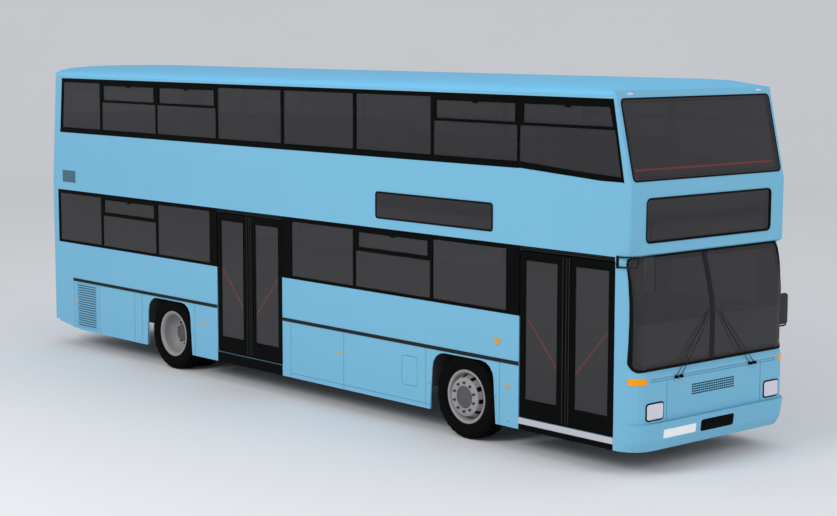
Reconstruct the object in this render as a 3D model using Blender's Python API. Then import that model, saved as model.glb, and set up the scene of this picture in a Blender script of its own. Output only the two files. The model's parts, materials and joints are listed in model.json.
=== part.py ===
# Double-decker city bus at real size, in metres.
# X runs across the bus with the doors at -X, Y runs along it with the nose at -Y, and Z is up from the road.
# Places along the bus are stations: distances back from the foremost face of the front bumper.
import math

import bmesh
import bpy
from mathutils import Matrix, Vector

MM = 0.001

# Driving dimensions of the whole bus
LENGTH = 11.40
WIDTH = 2.50
CROWN = 4.03             # top of the roof above the road
WALL = 0.05
SEAT_GAP = 0.3 * MM      # left between pieces that rest on each other
OVERRUN = 0.03           # how far a cutter runs past the wall that it cuts
TINY = 2 * MM
MERGE = 0.01 * MM
STRAIGHT_SHARE = 1e-6
MOVING_GAP = 6 * MM      # left round lids
WHEEL_SEGMENTS = 28

HALF = WIDTH / 2
INNER = HALF - WALL
INSIDE = INNER - SEAT_GAP

# Heights that several pieces share
SKIRT = 0.265            # bottom edge of the body
BUMPER_TOP = 0.555
DOOR_SILL = 0.395        # top of the entrance step
DOOR_HEAD = 2.215
FLOOR = 0.05             # thickness of both decks
LOWER_DECK = 0.56
REAR_DECK = 0.80         # over the rear axle
ENGINE_DECK = 0.95       # over the engine
UPPER_DECK = 2.38
EAVES = 3.895            # the roof sits on the sides here
ROOF_EDGE = 3.935

# Distances along the bus that place its parts
FRONT_AXLE = 2.61
REAR_OVERHANG = 3.014
REAR_DECK_LEAD = 0.786   # the floor steps up this far ahead of the rear axle
ENGINE_DECK_LAG = 0.864  # and again this far behind it
NOSE_RETURN = 0.345      # where the sides take over from the nose
TAIL_WRAP = 0.19
SKIRT_CLIMB = 0.77       # the skirt climbs over this length to the tail
MIRROR_LEAD = 0.30       # how far the kerb-side mirror stands ahead of the bumper
HATCH_BARREL = 8 * MM    # radius of the hatch hinges, which stand out behind the tail
FRONT_DOOR_WIDE = 1.378
MIDDLE_DOOR_LEAD = 2.50  # from its front post to the rear axle
MIDDLE_DOOR_WIDE = 1.384

REAR_AXLE = LENGTH - REAR_OVERHANG
TAIL_RETURN = LENGTH - TAIL_WRAP
MIDDLE = (LENGTH + HATCH_BARREL - MIRROR_LEAD) / 2
REAR_DECK_START = REAR_AXLE - REAR_DECK_LEAD
ENGINE_DECK_START = REAR_AXLE + ENGINE_DECK_LAG
MIDDLE_DOOR_FRONT = REAR_AXLE - MIDDLE_DOOR_LEAD
FRONT_DOOR = {"front": NOSE_RETURN, "rear": NOSE_RETURN + FRONT_DOOR_WIDE}
MIDDLE_DOOR = {"front": MIDDLE_DOOR_FRONT, "rear": MIDDLE_DOOR_FRONT + MIDDLE_DOOR_WIDE}
DOORS = {"front_door": FRONT_DOOR, "middle_door": MIDDLE_DOOR}

PAINT = ("bus_blue", (0.20, 0.48, 0.67), 0.35, 0.0)
BLACK = ("black_trim", (0.008, 0.009, 0.009), 0.6, 0.0)
GLASS = ("tinted_glass", (0.045, 0.043, 0.045), 0.1, 0.0)
STEEL = ("dark_steel", (0.05, 0.05, 0.055), 0.5, 0.8)
FLOORING = ("floor_covering", (0.12, 0.12, 0.13), 0.7, 0.0)
CLOTH = ("seat_cloth", (0.05, 0.08, 0.22), 0.9, 0.0)
PLASTIC = ("grey_plastic", (0.15, 0.15, 0.16), 0.5, 0.0)
RIM = ("rim_grey", (0.30, 0.28, 0.30), 0.4, 0.5)
RUBBER = ("tyre_rubber", (0.012, 0.012, 0.012), 0.8, 0.0)


def along(station):
    """World Y of a station."""
    return station - MIDDLE


def material(spec):
    name, colour, roughness, metallic = spec
    found = bpy.data.materials.get(name)
    if found:
        return found
    made = bpy.data.materials.new(name)
    made.use_nodes = True
    shader = made.node_tree.nodes["Principled BSDF"]
    shader.inputs["Base Color"].default_value = (*colour, 1.0)
    shader.inputs["Roughness"].default_value = roughness
    shader.inputs["Metallic"].default_value = metallic
    made.diffuse_color = (*colour, 1.0)
    return made


def finish(bm, name, spec=None, parent=None, smooth=False):
    """Turns a bmesh in world coordinates into an object. One with no material is a cutter or is joined to another."""
    bmesh.ops.remove_doubles(bm, verts=bm.verts, dist=MERGE)
    bmesh.ops.recalc_face_normals(bm, faces=bm.faces)
    if bm.calc_volume(signed=True) < 0:
        bmesh.ops.reverse_faces(bm, faces=bm.faces)
    mesh = bpy.data.meshes.new(name)
    if parent:
        bm.transform(Matrix.Translation(-parent.matrix_world.translation))
    bm.to_mesh(mesh)
    bm.free()
    if smooth:
        mesh.shade_smooth()
        mesh.set_sharp_from_angle(angle=math.radians(35))
    obj = bpy.data.objects.new(name, mesh)
    bpy.context.scene.collection.objects.link(obj)
    if spec:
        mesh.materials.append(material(spec))
    else:
        obj.hide_render = True
        obj.display_type = "WIRE"
    if parent:
        obj.parent = parent
    return obj


def pivot(name, place, parent=None):
    """An empty on a joint's axis, which carries a moving body."""
    empty = bpy.data.objects.new(name, None)
    bpy.context.scene.collection.objects.link(empty)
    empty.location = Vector(place) - (parent.matrix_world.translation if parent else Vector())
    empty.parent = parent
    bpy.context.view_layer.update()
    return empty


def boolean(obj, others, operation):
    for other in others:
        change = obj.modifiers.new(other.name, "BOOLEAN")
        change.operation = operation
        change.solver = "EXACT"
        change.object = other
    return obj


def cut(obj, *cutters):
    return boolean(obj, cutters, "DIFFERENCE")


def join(obj, *pieces):
    return boolean(obj, pieces, "UNION")


def prism_into(bm, outline, axis, low, high):
    """Extrudes an outline along X, Y or Z. Its points are (y, z), (x, z) or (x, y)."""
    place = {
        "X": lambda a, b: (low, a, b),
        "Y": lambda a, b: (a, low, b),
        "Z": lambda a, b: (a, b, low),
    }[axis]
    face = bm.faces.new([bm.verts.new(place(a, b)) for a, b in outline])
    grown = bmesh.ops.extrude_face_region(bm, geom=[face])["geom"]
    step = Vector([high - low if letter == axis else 0.0 for letter in "XYZ"])
    bmesh.ops.translate(bm, verts=[g for g in grown if isinstance(g, bmesh.types.BMVert)], vec=step)


def prism(name, outline, axis, low, high, spec=None, parent=None, smooth=False):
    bm = bmesh.new()
    prism_into(bm, outline, axis, low, high)
    return finish(bm, name, spec, parent, smooth)


def prisms(name, outlines, axis, low, high, spec=None, parent=None):
    """Prisms that touch none of the others, as one mesh."""
    bm = bmesh.new()
    for outline in outlines:
        prism_into(bm, outline, axis, low, high)
    return finish(bm, name, spec, parent)


def box(name, x, station, z, spec=None, parent=None):
    """A box from three (low, high) pairs."""
    return prism(name, along_all(rectangle(station, z)), "X", *x, spec, parent)


def rectangle(a, b):
    return [(a[0], b[0]), (a[1], b[0]), (a[1], b[1]), (a[0], b[1])]


def about(middle, reach):
    return (middle - reach, middle + reach)


def sides(side, near, far):
    """An x range on one side of the bus, from the distances to its middle."""
    return tuple(sorted((side * near, side * far)))


def between(low, high, shares):
    return [low + share * (high - low) for share in shares]


def quarter(steps):
    return [math.pi / 2 * k / steps for k in range(steps + 1)]


def along_all(points):
    """Turns (station, height) points into (y, z)."""
    return [(along(station), height) for station, height in points]


def corners(points):
    """An outline without the points that lie on a straight run."""
    out = []
    for before, here, after in zip(points[-1:] + points[:-1], points, points[1:] + points[:1]):
        first, second = Vector(here) - Vector(before), Vector(after) - Vector(here)
        if abs(first.normalized().cross(second.normalized())) > STRAIGHT_SHARE:
            out.append(here)
    return out


def inset(points, distances):
    """Moves each edge of an outline inwards, edge i running from point i to the next. One number moves all."""
    count = len(points)
    if not isinstance(distances, (list, tuple)):
        distances = [distances] * count
    area = sum(a[0] * b[1] - b[0] * a[1] for a, b in zip(points, points[1:] + points[:1]))
    turn = 1 if area > 0 else -1
    lines = []
    for i, distance in enumerate(distances):
        a, b = Vector(points[i]), Vector(points[(i + 1) % count])
        run = (b - a).normalized()
        normal = Vector((-run.y, run.x)) * turn
        lines.append((a + normal * distance, run))
    out = []
    for (p, d), (q, e) in zip(lines[-1:] + lines[:-1], lines):
        share = (q - p).cross(e) / d.cross(e)
        out.append(tuple(p + d * share))
    return out


def rounded(points, radius, steps=4):
    """An outline with an arc of one radius at each corner."""
    out = []
    count = len(points)
    for i, point in enumerate(points):
        here = Vector(point)
        back = (Vector(points[i - 1]) - here).normalized()
        ahead = (Vector(points[(i + 1) % count]) - here).normalized()
        half_angle = back.angle(ahead) / 2
        centre = here + (back + ahead).normalized() * (radius / math.sin(half_angle))
        start = here + back * (radius / math.tan(half_angle)) - centre
        end = here + ahead * (radius / math.tan(half_angle)) - centre
        for k in range(steps + 1):
            out.append(tuple(centre + start.slerp(end, k / steps).normalized() * radius))
    return out


def tube(name, start, end, radius, spec=None, parent=None, segments=12):
    """A solid round bar between two points."""
    bm = bmesh.new()
    start, end = Vector(start), Vector(end)
    turn = (end - start).to_track_quat("Z", "Y").to_matrix().to_4x4()
    place = Matrix.Translation((start + end) / 2) @ turn
    bmesh.ops.create_cone(bm, cap_ends=True, segments=segments, radius1=radius, radius2=radius,
                          depth=(end - start).length, matrix=place)
    return finish(bm, name, spec, parent, smooth=bool(spec))


def loft(name, rings, spec=None):
    """Skins closed rings of equal count and caps both ends."""
    bm = bmesh.new()
    laid = [[bm.verts.new(point) for point in ring] for ring in rings]
    count = len(laid[0])
    for lower, upper in zip(laid, laid[1:]):
        for i in range(count):
            j = (i + 1) % count
            bm.faces.new((lower[i], lower[j], upper[j], upper[i]))
    bm.faces.new(laid[0])
    bm.faces.new(laid[-1])
    return finish(bm, name, spec, smooth=bool(spec))


def turned(name, profile, centre, spec=None, parent=None, segments=WHEEL_SEGMENTS):
    """Spins a closed profile of (x, radius) points round the X line through a point."""
    bm = bmesh.new()
    place = Vector(centre)
    ring = [bm.verts.new(place + Vector((x, 0, r))) for x, r in profile]
    edges = [bm.edges.new((ring[i - 1], ring[i])) for i in range(len(ring))
             if profile[i - 1][1] > 0 or profile[i][1] > 0]
    bmesh.ops.spin(bm, geom=ring + edges, cent=place, axis=(1, 0, 0), angle=math.tau, steps=segments,
                   use_merge=True)
    return finish(bm, name, spec, parent, smooth=True)


# Nose and tail

# Each row holds a height, the station of the face, the corner radius and the station where the side return ends
SCREEN_HEAD = 2.245
BROW_FOOT = 2.285
BROW_END = 0.209
NOSE_LEVELS = [
    {"z": BUMPER_TOP + SEAT_GAP, "face": 0.05, "radius": 0.20, "end": NOSE_RETURN},
    {"z": 1.05, "face": 0.05, "radius": 0.20, "end": NOSE_RETURN},
    {"z": 1.09, "face": 0.091, "radius": 0.16, "end": NOSE_RETURN},
    {"z": 1.57, "face": 0.088, "radius": 0.15, "end": NOSE_RETURN},
    {"z": 1.75, "face": 0.106, "radius": 0.13, "end": NOSE_RETURN},
    {"z": 1.92, "face": 0.144, "radius": 0.09, "end": NOSE_RETURN},
    {"z": 2.03, "face": 0.170, "radius": 0.06, "end": NOSE_RETURN},
    {"z": 2.11, "face": 0.194, "radius": 0.04, "end": NOSE_RETURN},
    {"z": SCREEN_HEAD, "face": 0.229, "radius": 0.03, "end": NOSE_RETURN},
    {"z": BROW_FOOT, "face": 0.155, "radius": 0.03, "end": BROW_END},
    {"z": 2.95, "face": 0.150, "radius": 0.03, "end": 0.204},
    {"z": ROOF_EDGE, "face": 0.382, "radius": 0.012, "end": 0.402},
]
BUMPER_LEVELS = [
    {"z": SKIRT, "face": 0.055, "radius": 0.27, "end": NOSE_RETURN},
    {"z": 0.36, "face": 0.020, "radius": 0.24, "end": NOSE_RETURN},
    {"z": BUMPER_TOP, "face": 0.0, "radius": 0.22, "end": NOSE_RETURN},
]
TAIL = {"corner": 0.12, "upright": 2.40, "lean": 0.13, "bottom": 0.36}
TAIL_LEVELS = [
    {"z": TAIL["bottom"], "face": LENGTH, "radius": TAIL["corner"], "end": TAIL_RETURN},
    {"z": TAIL["upright"], "face": LENGTH, "radius": TAIL["corner"], "end": TAIL_RETURN},
    {"z": EAVES, "face": LENGTH - TAIL["lean"], "radius": TAIL["corner"], "end": TAIL_RETURN - TAIL["lean"]},
]

BUMPER_WALL = 0.045
SCREEN = {"low": 1.12, "high": 2.235, "foot_half": 1.236, "head_half": 1.216, "corner": 0.07, "wrap": 0.20,
          "upright": 1.70, "head_wrap": 0.29, "set_in": 6 * MM, "glass": 8 * MM}
UPPER_SCREEN = {"half": 1.16, "low": 3.04, "high": 3.84, "corner": 0.06}
DESTINATION = {"half": 1.007, "low": 2.402, "high": 2.849, "corner": 0.07, "depth": 0.012}
REAR_UPPER = {"half": 0.95, "low": 2.98, "high": 3.66, "corner": 0.06}
HATCH = {"half": 0.95, "low": 0.45, "high": 1.35}
HATCH_HINGE = {"radius": HATCH_BARREL, "clear": 0.5 * MM, "half": 0.06, "place_share": 0.7}
PANE = 6 * MM
PANE_SET_IN = 8 * MM


def level_at(levels, z):
    """A row at any height, between the rows of a table."""
    for low, high in zip(levels, levels[1:]):
        if low["z"] <= z <= high["z"]:
            share = (z - low["z"]) / (high["z"] - low["z"])
            return {key: low[key] + share * (high[key] - low[key]) for key in low}
    return levels[0] if z < levels[0]["z"] else levels[-1]


def u_ring(row, z, inward, thickness, into, steps=5):
    """A U-shaped ring across the bus, with rounded corners. It runs into the bus along Y by the sign of into."""
    def side(depth):
        reach = HALF - depth
        front = row["face"] + into * depth
        bend = max(row["radius"] - depth, TINY)
        points = [(-reach, row["end"])]
        for angle in quarter(steps):
            points.append((-reach + bend - bend * math.cos(angle), front + into * bend * (1 - math.sin(angle))))
        return points + [(-x, s) for x, s in reversed(points)]
    ring = side(inward) + side(inward + thickness)[::-1]
    return [(x, along(s), z) for x, s in ring]


def skin(name, levels, low, high, inward, thickness, into, spec=None):
    """The nose's or tail's skin between two heights, set in from its outside."""
    heights = [low] + [row["z"] for row in levels if low < row["z"] < high] + [high]
    return loft(name, [u_ring(level_at(levels, z), z, inward, thickness, into) for z in heights], spec)


def face_window(name, window, grow, low, high):
    """A window's outline as a prism along Y between two stations."""
    outline = inset(rectangle(about(0.0, window["half"]), (window["low"], window["high"])), -grow)
    return prism(name, rounded(outline, window["corner"] + grow), "Y", along(low), along(high))


def screen_window(name, grow):
    """The windscreen's outline, which narrows upwards and wraps round the nose's corners."""
    s = SCREEN
    front = inset([(-s["foot_half"], s["low"]), (s["foot_half"], s["low"]), (s["head_half"], s["high"]),
                   (-s["head_half"], s["high"])], -grow)
    shape = prism(name, rounded(front, s["corner"] + grow), "Y", along(-OVERRUN), along(s["head_wrap"] + OVERRUN))
    depth = inset([(-OVERRUN * 2, s["low"] - OVERRUN), (s["wrap"], s["low"] - OVERRUN), (s["wrap"], s["upright"]),
                   (s["head_wrap"], s["high"] + OVERRUN), (-OVERRUN * 2, s["high"] + OVERRUN)], -grow)
    return boolean(shape, [prism(name + "_depth", along_all(depth), "X", -HALF - OVERRUN, HALF + OVERRUN)],
                   "INTERSECT")


def make_nose():
    shell = skin("front_end", NOSE_LEVELS, NOSE_LEVELS[0]["z"], ROOF_EDGE, 0.0, WALL, 1, PAINT)
    ahead, behind = -OVERRUN, NOSE_RETURN + WALL + OVERRUN
    brow = level_at(NOSE_LEVELS, DESTINATION["low"])["face"]
    cut(shell,
        screen_window("screen_cut", 0.0),
        face_window("upper_screen_cut", UPPER_SCREEN, 0.0, ahead, behind),
        face_window("destination_cut", DESTINATION, 0.0, ahead, brow + DESTINATION["depth"]))
    s = SCREEN
    glass = skin("windscreen", NOSE_LEVELS, s["low"] - OVERRUN / 2, s["high"] + SEAT_GAP, s["set_in"], s["glass"], 1,
                 GLASS)
    boolean(glass, [screen_window("screen_limit", -SEAT_GAP)], "INTERSECT")
    upper = skin("upper_windscreen", NOSE_LEVELS, UPPER_SCREEN["low"] - OVERRUN, UPPER_SCREEN["high"] + OVERRUN,
                 PANE_SET_IN, PANE, 1, GLASS)
    boolean(upper, [face_window("upper_screen_limit", UPPER_SCREEN, -SEAT_GAP, ahead, behind)], "INTERSECT")
    skin("front_bumper", BUMPER_LEVELS, SKIRT, BUMPER_TOP, 0.0, BUMPER_WALL, 1, PAINT)


def make_tail():
    shell = skin("rear_end", TAIL_LEVELS, TAIL["bottom"], EAVES, 0.0, WALL, -1, PAINT)
    ends = (LENGTH - TAIL["lean"] - WALL - OVERRUN - TAIL["corner"] / 2, LENGTH + OVERRUN)
    hatch, hinge = HATCH, HATCH_HINGE
    place = (along(LENGTH), hatch["high"])
    barrels = [about(side * hatch["half"] * hinge["place_share"], hinge["half"]) for side in (-1, 1)]
    cut(shell,
        face_window("rear_upper_cut", REAR_UPPER, 0.0, *ends),
        box("hatch_cut", about(0.0, hatch["half"]), ends, (hatch["low"], hatch["high"])))
    for i, (low, high) in enumerate(barrels):
        cut(shell, tube(f"hinge_room_{i}", (low - hinge["clear"], *place), (high + hinge["clear"], *place),
                        hinge["radius"] + hinge["clear"]))
    rear = skin("rear_window_upper", TAIL_LEVELS, REAR_UPPER["low"] - OVERRUN, REAR_UPPER["high"] + OVERRUN,
                PANE_SET_IN, PANE, -1, GLASS)
    boolean(rear, [face_window("rear_upper_limit", REAR_UPPER, -SEAT_GAP, *ends)], "INTERSECT")
    carrier = pivot("engine_hatch_hinge", (0.0, *place))
    lid = box("engine_hatch", about(0.0, hatch["half"] - MOVING_GAP), (LENGTH - WALL, LENGTH),
              (hatch["low"] + MOVING_GAP, hatch["high"] - MOVING_GAP), PAINT, carrier)
    for i, (low, high) in enumerate(barrels):
        join(lid, tube(f"hatch_barrel_{i}", (low, *place), (high, *place), hinge["radius"]))


# Side walls and their windows

ARCH = {"half": 0.535, "shoulder_half": 0.50, "shoulder": 0.75, "top_half": 0.30, "top": 0.94}
ARCH_RELIEF = {"skin": 0.012, "half": 0.56, "top": 1.03}
FRAME = 12 * MM
REBATE = FRAME + PANE + 2 * SEAT_GAP
BAR = 0.048              # window pillars
BORDER = 0.036           # black border round a band of windows
HOPPER = {"bar": 0.024, "upper": 0.038, "lower": 0.013}
LOW, HIGH, HEADER = 1.5015, 2.263, 0.052
POSTS = {"behind_front": 0.203, "ahead_middle": 0.182, "behind_middle": 0.16}
REAR_STRIP = 0.024       # wall left behind the last lower window
HEADER_START = NOSE_RETURN + MOVING_GAP
UPPER = {"low": 3.126, "high": 3.861, "nose_low": 3.02, "nose_start": 0.239, "nose_top": 0.400, "first": 1.76,
         "last_from_tail": 1.40, "rear_strip": 0.12, "rear_lean": 0.07, "transom": 3.56}
PILLAR_SHARES = (0.0, 0.1653, 0.3305, 0.4990, 0.6667, 0.8340, 1.0)
MIDDLE_SHARES = (0.0, 0.3213, 0.6787, 1.0)
REAR_SHARES = (0.0, 0.3275, 0.6896, 1.0)
OFFSIDE_SHARES = (0.0, 0.1245, 0.3780, 0.5062, 0.6344, 0.7654, 0.8917, 1.0)
OFFSIDE_START = 0.42
LOWER_TRANSOM = 2.00
SIDE_SIGN = {"front": 2.145, "rear": 4.088, "low": 2.384, "high": 2.68, "corner": 0.05, "depth": 0.010}


def straight_band(stations, hoppers, blank=()):
    return {"low": [(s, LOW) for s in stations], "high": [(s, HIGH) for s in stations], "hoppers": hoppers,
            "blank": blank, "transom": LOWER_TRANSOM}


def upper_band():
    u = UPPER
    pillars = between(u["first"], LENGTH - u["last_from_tail"], PILLAR_SHARES)
    rear = TAIL_RETURN - u["rear_strip"]
    return {"low": [(u["nose_start"], u["nose_low"])] + [(s, u["low"]) for s in pillars + [rear]],
            "high": [(s, u["high"]) for s in [u["nose_top"]] + pillars + [rear - u["rear_lean"]]],
            "hoppers": (0, 1, 5, 6), "blank": (), "transom": u["transom"]}


BAND_END = TAIL_RETURN - REAR_STRIP
MIDDLE_BAND = straight_band(between(FRONT_DOOR["rear"] + POSTS["behind_front"],
                                    MIDDLE_DOOR["front"] - POSTS["ahead_middle"], MIDDLE_SHARES), (1,))
REAR_BAND = straight_band(between(MIDDLE_DOOR["rear"] + POSTS["behind_middle"], BAND_END, REAR_SHARES), (1,))
OFFSIDE_BAND = straight_band(between(OFFSIDE_START, BAND_END, OFFSIDE_SHARES), (3, 5), (1,))


def band_outline(band):
    return corners(band["low"] + band["high"][::-1])


def bay_outlines(band, top, ends):
    """The see-through openings of a band: one for each bay, or two where a bay has an opening upper pane."""
    out = []
    low, high = band["low"], band["high"]
    last = len(low) - 2
    bar = HOPPER
    for i in range(last + 1):
        if i in band["blank"]:
            continue
        front = ends[0] if i == 0 else BAR / 2
        rear = ends[1] if i == last else BAR / 2
        if i not in band["hoppers"]:
            out.append(inset([low[i], low[i + 1], high[i + 1], high[i]], [BORDER, rear, top, front]))
            continue
        ahead, behind = [tuple(Vector(low[j]).lerp(Vector(high[j]), (band["transom"] - low[j][1])
                                                   / (high[j][1] - low[j][1]))) for j in (i, i + 1)]
        out.append(inset([low[i], low[i + 1], behind, ahead],
                         [BORDER, rear if i == last else bar["lower"], bar["bar"] / 2,
                          front if i == 0 else bar["lower"]]))
        out.append(inset([ahead, behind, high[i + 1], high[i]], [bar["bar"] / 2, bar["upper"], top, bar["upper"]]))
    return out


def arch_outline(station):
    """A wheel arch from front to rear, as points on the wall's bottom edge."""
    a = ARCH
    side = [(a["half"], SKIRT)] + [
        (a["top_half"] + (a["shoulder_half"] - a["top_half"]) * math.cos(angle),
         a["shoulder"] + (a["top"] - a["shoulder"]) * math.sin(angle)) for angle in quarter(4)]
    return [(station - reach, z) for reach, z in side] + [(station + reach, z) for reach, z in side[::-1]]


def wall_outline():
    tail = level_at(TAIL_LEVELS, EAVES)["end"]
    climb_start = LENGTH - SKIRT_CLIMB
    rise = (TAIL_RETURN - climb_start) / SKIRT_CLIMB * (TAIL["bottom"] - SKIRT)
    points = [(NOSE_RETURN + SEAT_GAP, SKIRT)] + arch_outline(FRONT_AXLE) + arch_outline(REAR_AXLE)
    points += [(climb_start, SKIRT), (TAIL_RETURN - SEAT_GAP, SKIRT + rise),
               (TAIL_RETURN - SEAT_GAP, TAIL["upright"]), (tail - SEAT_GAP, EAVES),
               (level_at(NOSE_LEVELS, EAVES)["end"] + SEAT_GAP, EAVES)]
    points += [(row["end"] + SEAT_GAP, row["z"] + SEAT_GAP)
               for row in reversed(NOSE_LEVELS) if SCREEN_HEAD <= row["z"] < EAVES]
    return points


def window_band(wall, side, level, label, outline, openings):
    """Cuts a band of windows into a wall and fills it with glass behind a black frame."""
    name = f"{level}_windows_{label}"
    rebate = prism(name + "_rebate", along_all(inset(outline, -SEAT_GAP)), "X",
                   *sides(side, HALF - REBATE, HALF + OVERRUN))
    bays = prisms(name + "_bays", [along_all(bay) for bay in openings], "X",
                  *sides(side, INNER - OVERRUN, HALF + OVERRUN))
    cut(wall, rebate, bays)
    cut(prism(f"{level}_window_frame_{label}", along_all(outline), "X", *sides(side, HALF - FRAME, HALF), BLACK), bays)
    back = HALF - FRAME - SEAT_GAP
    prism(f"{level}_glass_{label}", along_all(outline), "X", *sides(side, back - PANE, back), GLASS)


def make_walls():
    outline = along_all(wall_outline())
    band = upper_band()
    for side, label in ((-1, "nearside"), (1, "offside")):
        wall = prism(label + "_wall", outline, "X", *sides(side, INNER, HALF), PAINT)
        for axle, station in (("front", FRONT_AXLE), ("rear", REAR_AXLE)):
            cut(wall, box(f"{label}_{axle}_arch_relief", sides(side, INNER - OVERRUN, HALF - ARCH_RELIEF["skin"]),
                          about(station, ARCH_RELIEF["half"]), (SKIRT - OVERRUN, ARCH_RELIEF["top"])))
        window_band(wall, side, "upper", label, band_outline(band), bay_outlines(band, BORDER, (BORDER, BORDER)))
        if side > 0:
            window_band(wall, side, "lower", label, band_outline(OFFSIDE_BAND),
                        bay_outlines(OFFSIDE_BAND, HEADER, (BORDER, BORDER)))
        else:
            make_door_side(wall, side, label)


FLAP = {"front": 3.37, "rear": 3.63, "low": 0.49, "high": 0.826, "corner": 0.03, "gap": 5 * MM, "thick": 8 * MM,
        "recess": 0.02, "hinge": 4 * MM, "clear": 0.5 * MM, "hinge_end": 0.09, "edge": 1 * MM}


def flap_prism(name, grow, x, spec=None, parent=None):
    """The fuel flap's outline, which starts just behind its hinge line."""
    f = FLAP
    outline = inset(rectangle((f["front"] + f["edge"], f["rear"]), (f["low"], f["high"])), -grow)
    return prism(name, rounded(along_all(outline), f["corner"] + grow), "X", *x, spec, parent)


def make_door_side(wall, side, label):
    """The kerb-side wall's door openings, lower windows, overhead door gear, sign recess and fuel flap."""
    first, second = FRONT_DOOR, MIDDLE_DOOR
    outline = [(HEADER_START, DOOR_HEAD), (first["rear"], DOOR_HEAD), (first["rear"], LOW), (second["front"], LOW),
               (second["front"], DOOR_HEAD), (second["rear"], DOOR_HEAD), (second["rear"], LOW), (BAND_END, LOW),
               (BAND_END, HIGH), (HEADER_START, HIGH)]
    openings = bay_outlines(MIDDLE_BAND, HEADER, (0.0, 0.0)) + bay_outlines(REAR_BAND, HEADER, (0.0, BORDER))
    for name, door in DOORS.items():
        front = door["front"] - (OVERRUN if door is first else 0.0)
        cut(wall, box(name + "_opening", sides(side, INNER - OVERRUN, HALF + OVERRUN), (front, door["rear"]),
                      (DOOR_SILL, DOOR_HEAD)))
    window_band(wall, side, "lower", label, outline, openings)
    sign = SIDE_SIGN
    sign_outline = rounded(along_all(rectangle((sign["front"], sign["rear"]), (sign["low"], sign["high"]))),
                           sign["corner"])
    cut(wall, prism("side_sign_recess", sign_outline, "X", *sides(side, HALF - sign["depth"], HALF + OVERRUN)))
    rail = RAIL
    for name, door in DOORS.items():
        start = door["front"] + (MOVING_GAP if door is first else -rail["past"])
        join(wall, box(name + "_rail", sides(side, rail["inner"], INNER + WALL / 4),
                       (start, door["rear"] + rail["past"]), (rail["low"], rail["high"])))
        for i, leaf in enumerate(door_gear(door)):
            track = tuple(sorted((leaf["pin"] + leaf["sign"] * (leaf["slide_open"] - GROOVE["end"]),
                                  leaf["pin"] + leaf["sign"] * (leaf["slide"] + GROOVE["end"]))))
            cut(wall,
                box(f"{name}_groove_{i}", about(-PIVOT_LINE, GROOVE["half"]), track,
                    (rail["low"] - OVERRUN, rail["low"] + GROOVE["depth"])),
                tube(f"{name}_socket_{i}", (-PIVOT_LINE, along(leaf["pin"]), rail["low"] - OVERRUN),
                     (-PIVOT_LINE, along(leaf["pin"]), rail["low"] + GROOVE["depth"]), GROOVE["socket"]))
    f = FLAP
    line = (side * HALF, along(f["front"]))
    ends = (f["low"] + f["hinge_end"], f["high"] - f["hinge_end"])
    cut(wall, flap_prism("fuel_flap_recess", f["gap"], sides(side, HALF - f["recess"], HALF + OVERRUN)),
        tube("fuel_flap_hinge_room", (*line, ends[0] - f["clear"]), (*line, ends[1] + f["clear"]),
             f["hinge"] + f["clear"]))
    carrier = pivot("fuel_flap_hinge", (*line, (f["low"] + f["high"]) / 2))
    lid = flap_prism("fuel_flap", 0.0, sides(side, HALF - f["thick"], HALF), PAINT, carrier)
    join(lid, tube("fuel_flap_barrel", (*line, ends[0]), (*line, ends[1]), f["hinge"]))


# Doors: each leaf hangs from an arm overhead and a pin that slides in a groove, so it turns edge-on as it opens

DOOR_SET_IN = 4 * MM
DOOR = {"face": HALF - DOOR_SET_IN, "thick": 0.040, "edge_gap": 0.014, "half_gap": 3 * MM, "low": 0.405,
        "high": 2.205, "beyond_pin": 0.116, "beyond_slide": 0.06, "open": math.radians(85.0)}
DOOR_GLASS = {"low": 0.605, "high": 2.11, "hinge_side": 0.076, "middle_side": 0.126, "thick": 6 * MM,
              "set_in": 8 * MM, "lip": 8 * MM}
PIVOT_LINE = DOOR["face"] - DOOR["beyond_pin"]
RAIL = {"low": 2.25, "high": 2.30, "half": 0.04, "past": 0.03}
RAIL["inner"] = PIVOT_LINE - RAIL["half"]
GROOVE = {"half": 9 * MM, "depth": 0.035, "end": 0.011, "socket": 0.0125}
ARM = {"low": 2.222, "high": 2.242, "half": 0.016, "pin": 0.012, "hole": 0.0085, "pin_top": 2.282}
LUG = {"low": 2.165, "high": 2.195, "half": 0.02, "pin": 0.008, "past": 0.012}


def door_gear(door):
    """Places of the arms and slides of a doorway's two leaves, the one at the front first."""
    leaf_width = (door["rear"] - door["front"]) / 2 - DOOR["edge_gap"] - DOOR["half_gap"]
    slide = leaf_width - DOOR["beyond_pin"] - DOOR["beyond_slide"]
    inboard = DOOR["edge_gap"] + DOOR["beyond_pin"]
    return [{"pin": edge + sign * inboard, "sign": sign, "slide": slide, "width": leaf_width,
             "slide_open": slide * math.cos(DOOR["open"]), "edge": edge + sign * DOOR["edge_gap"]}
            for edge, sign in ((door["front"], 1), (door["rear"], -1))]


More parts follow.
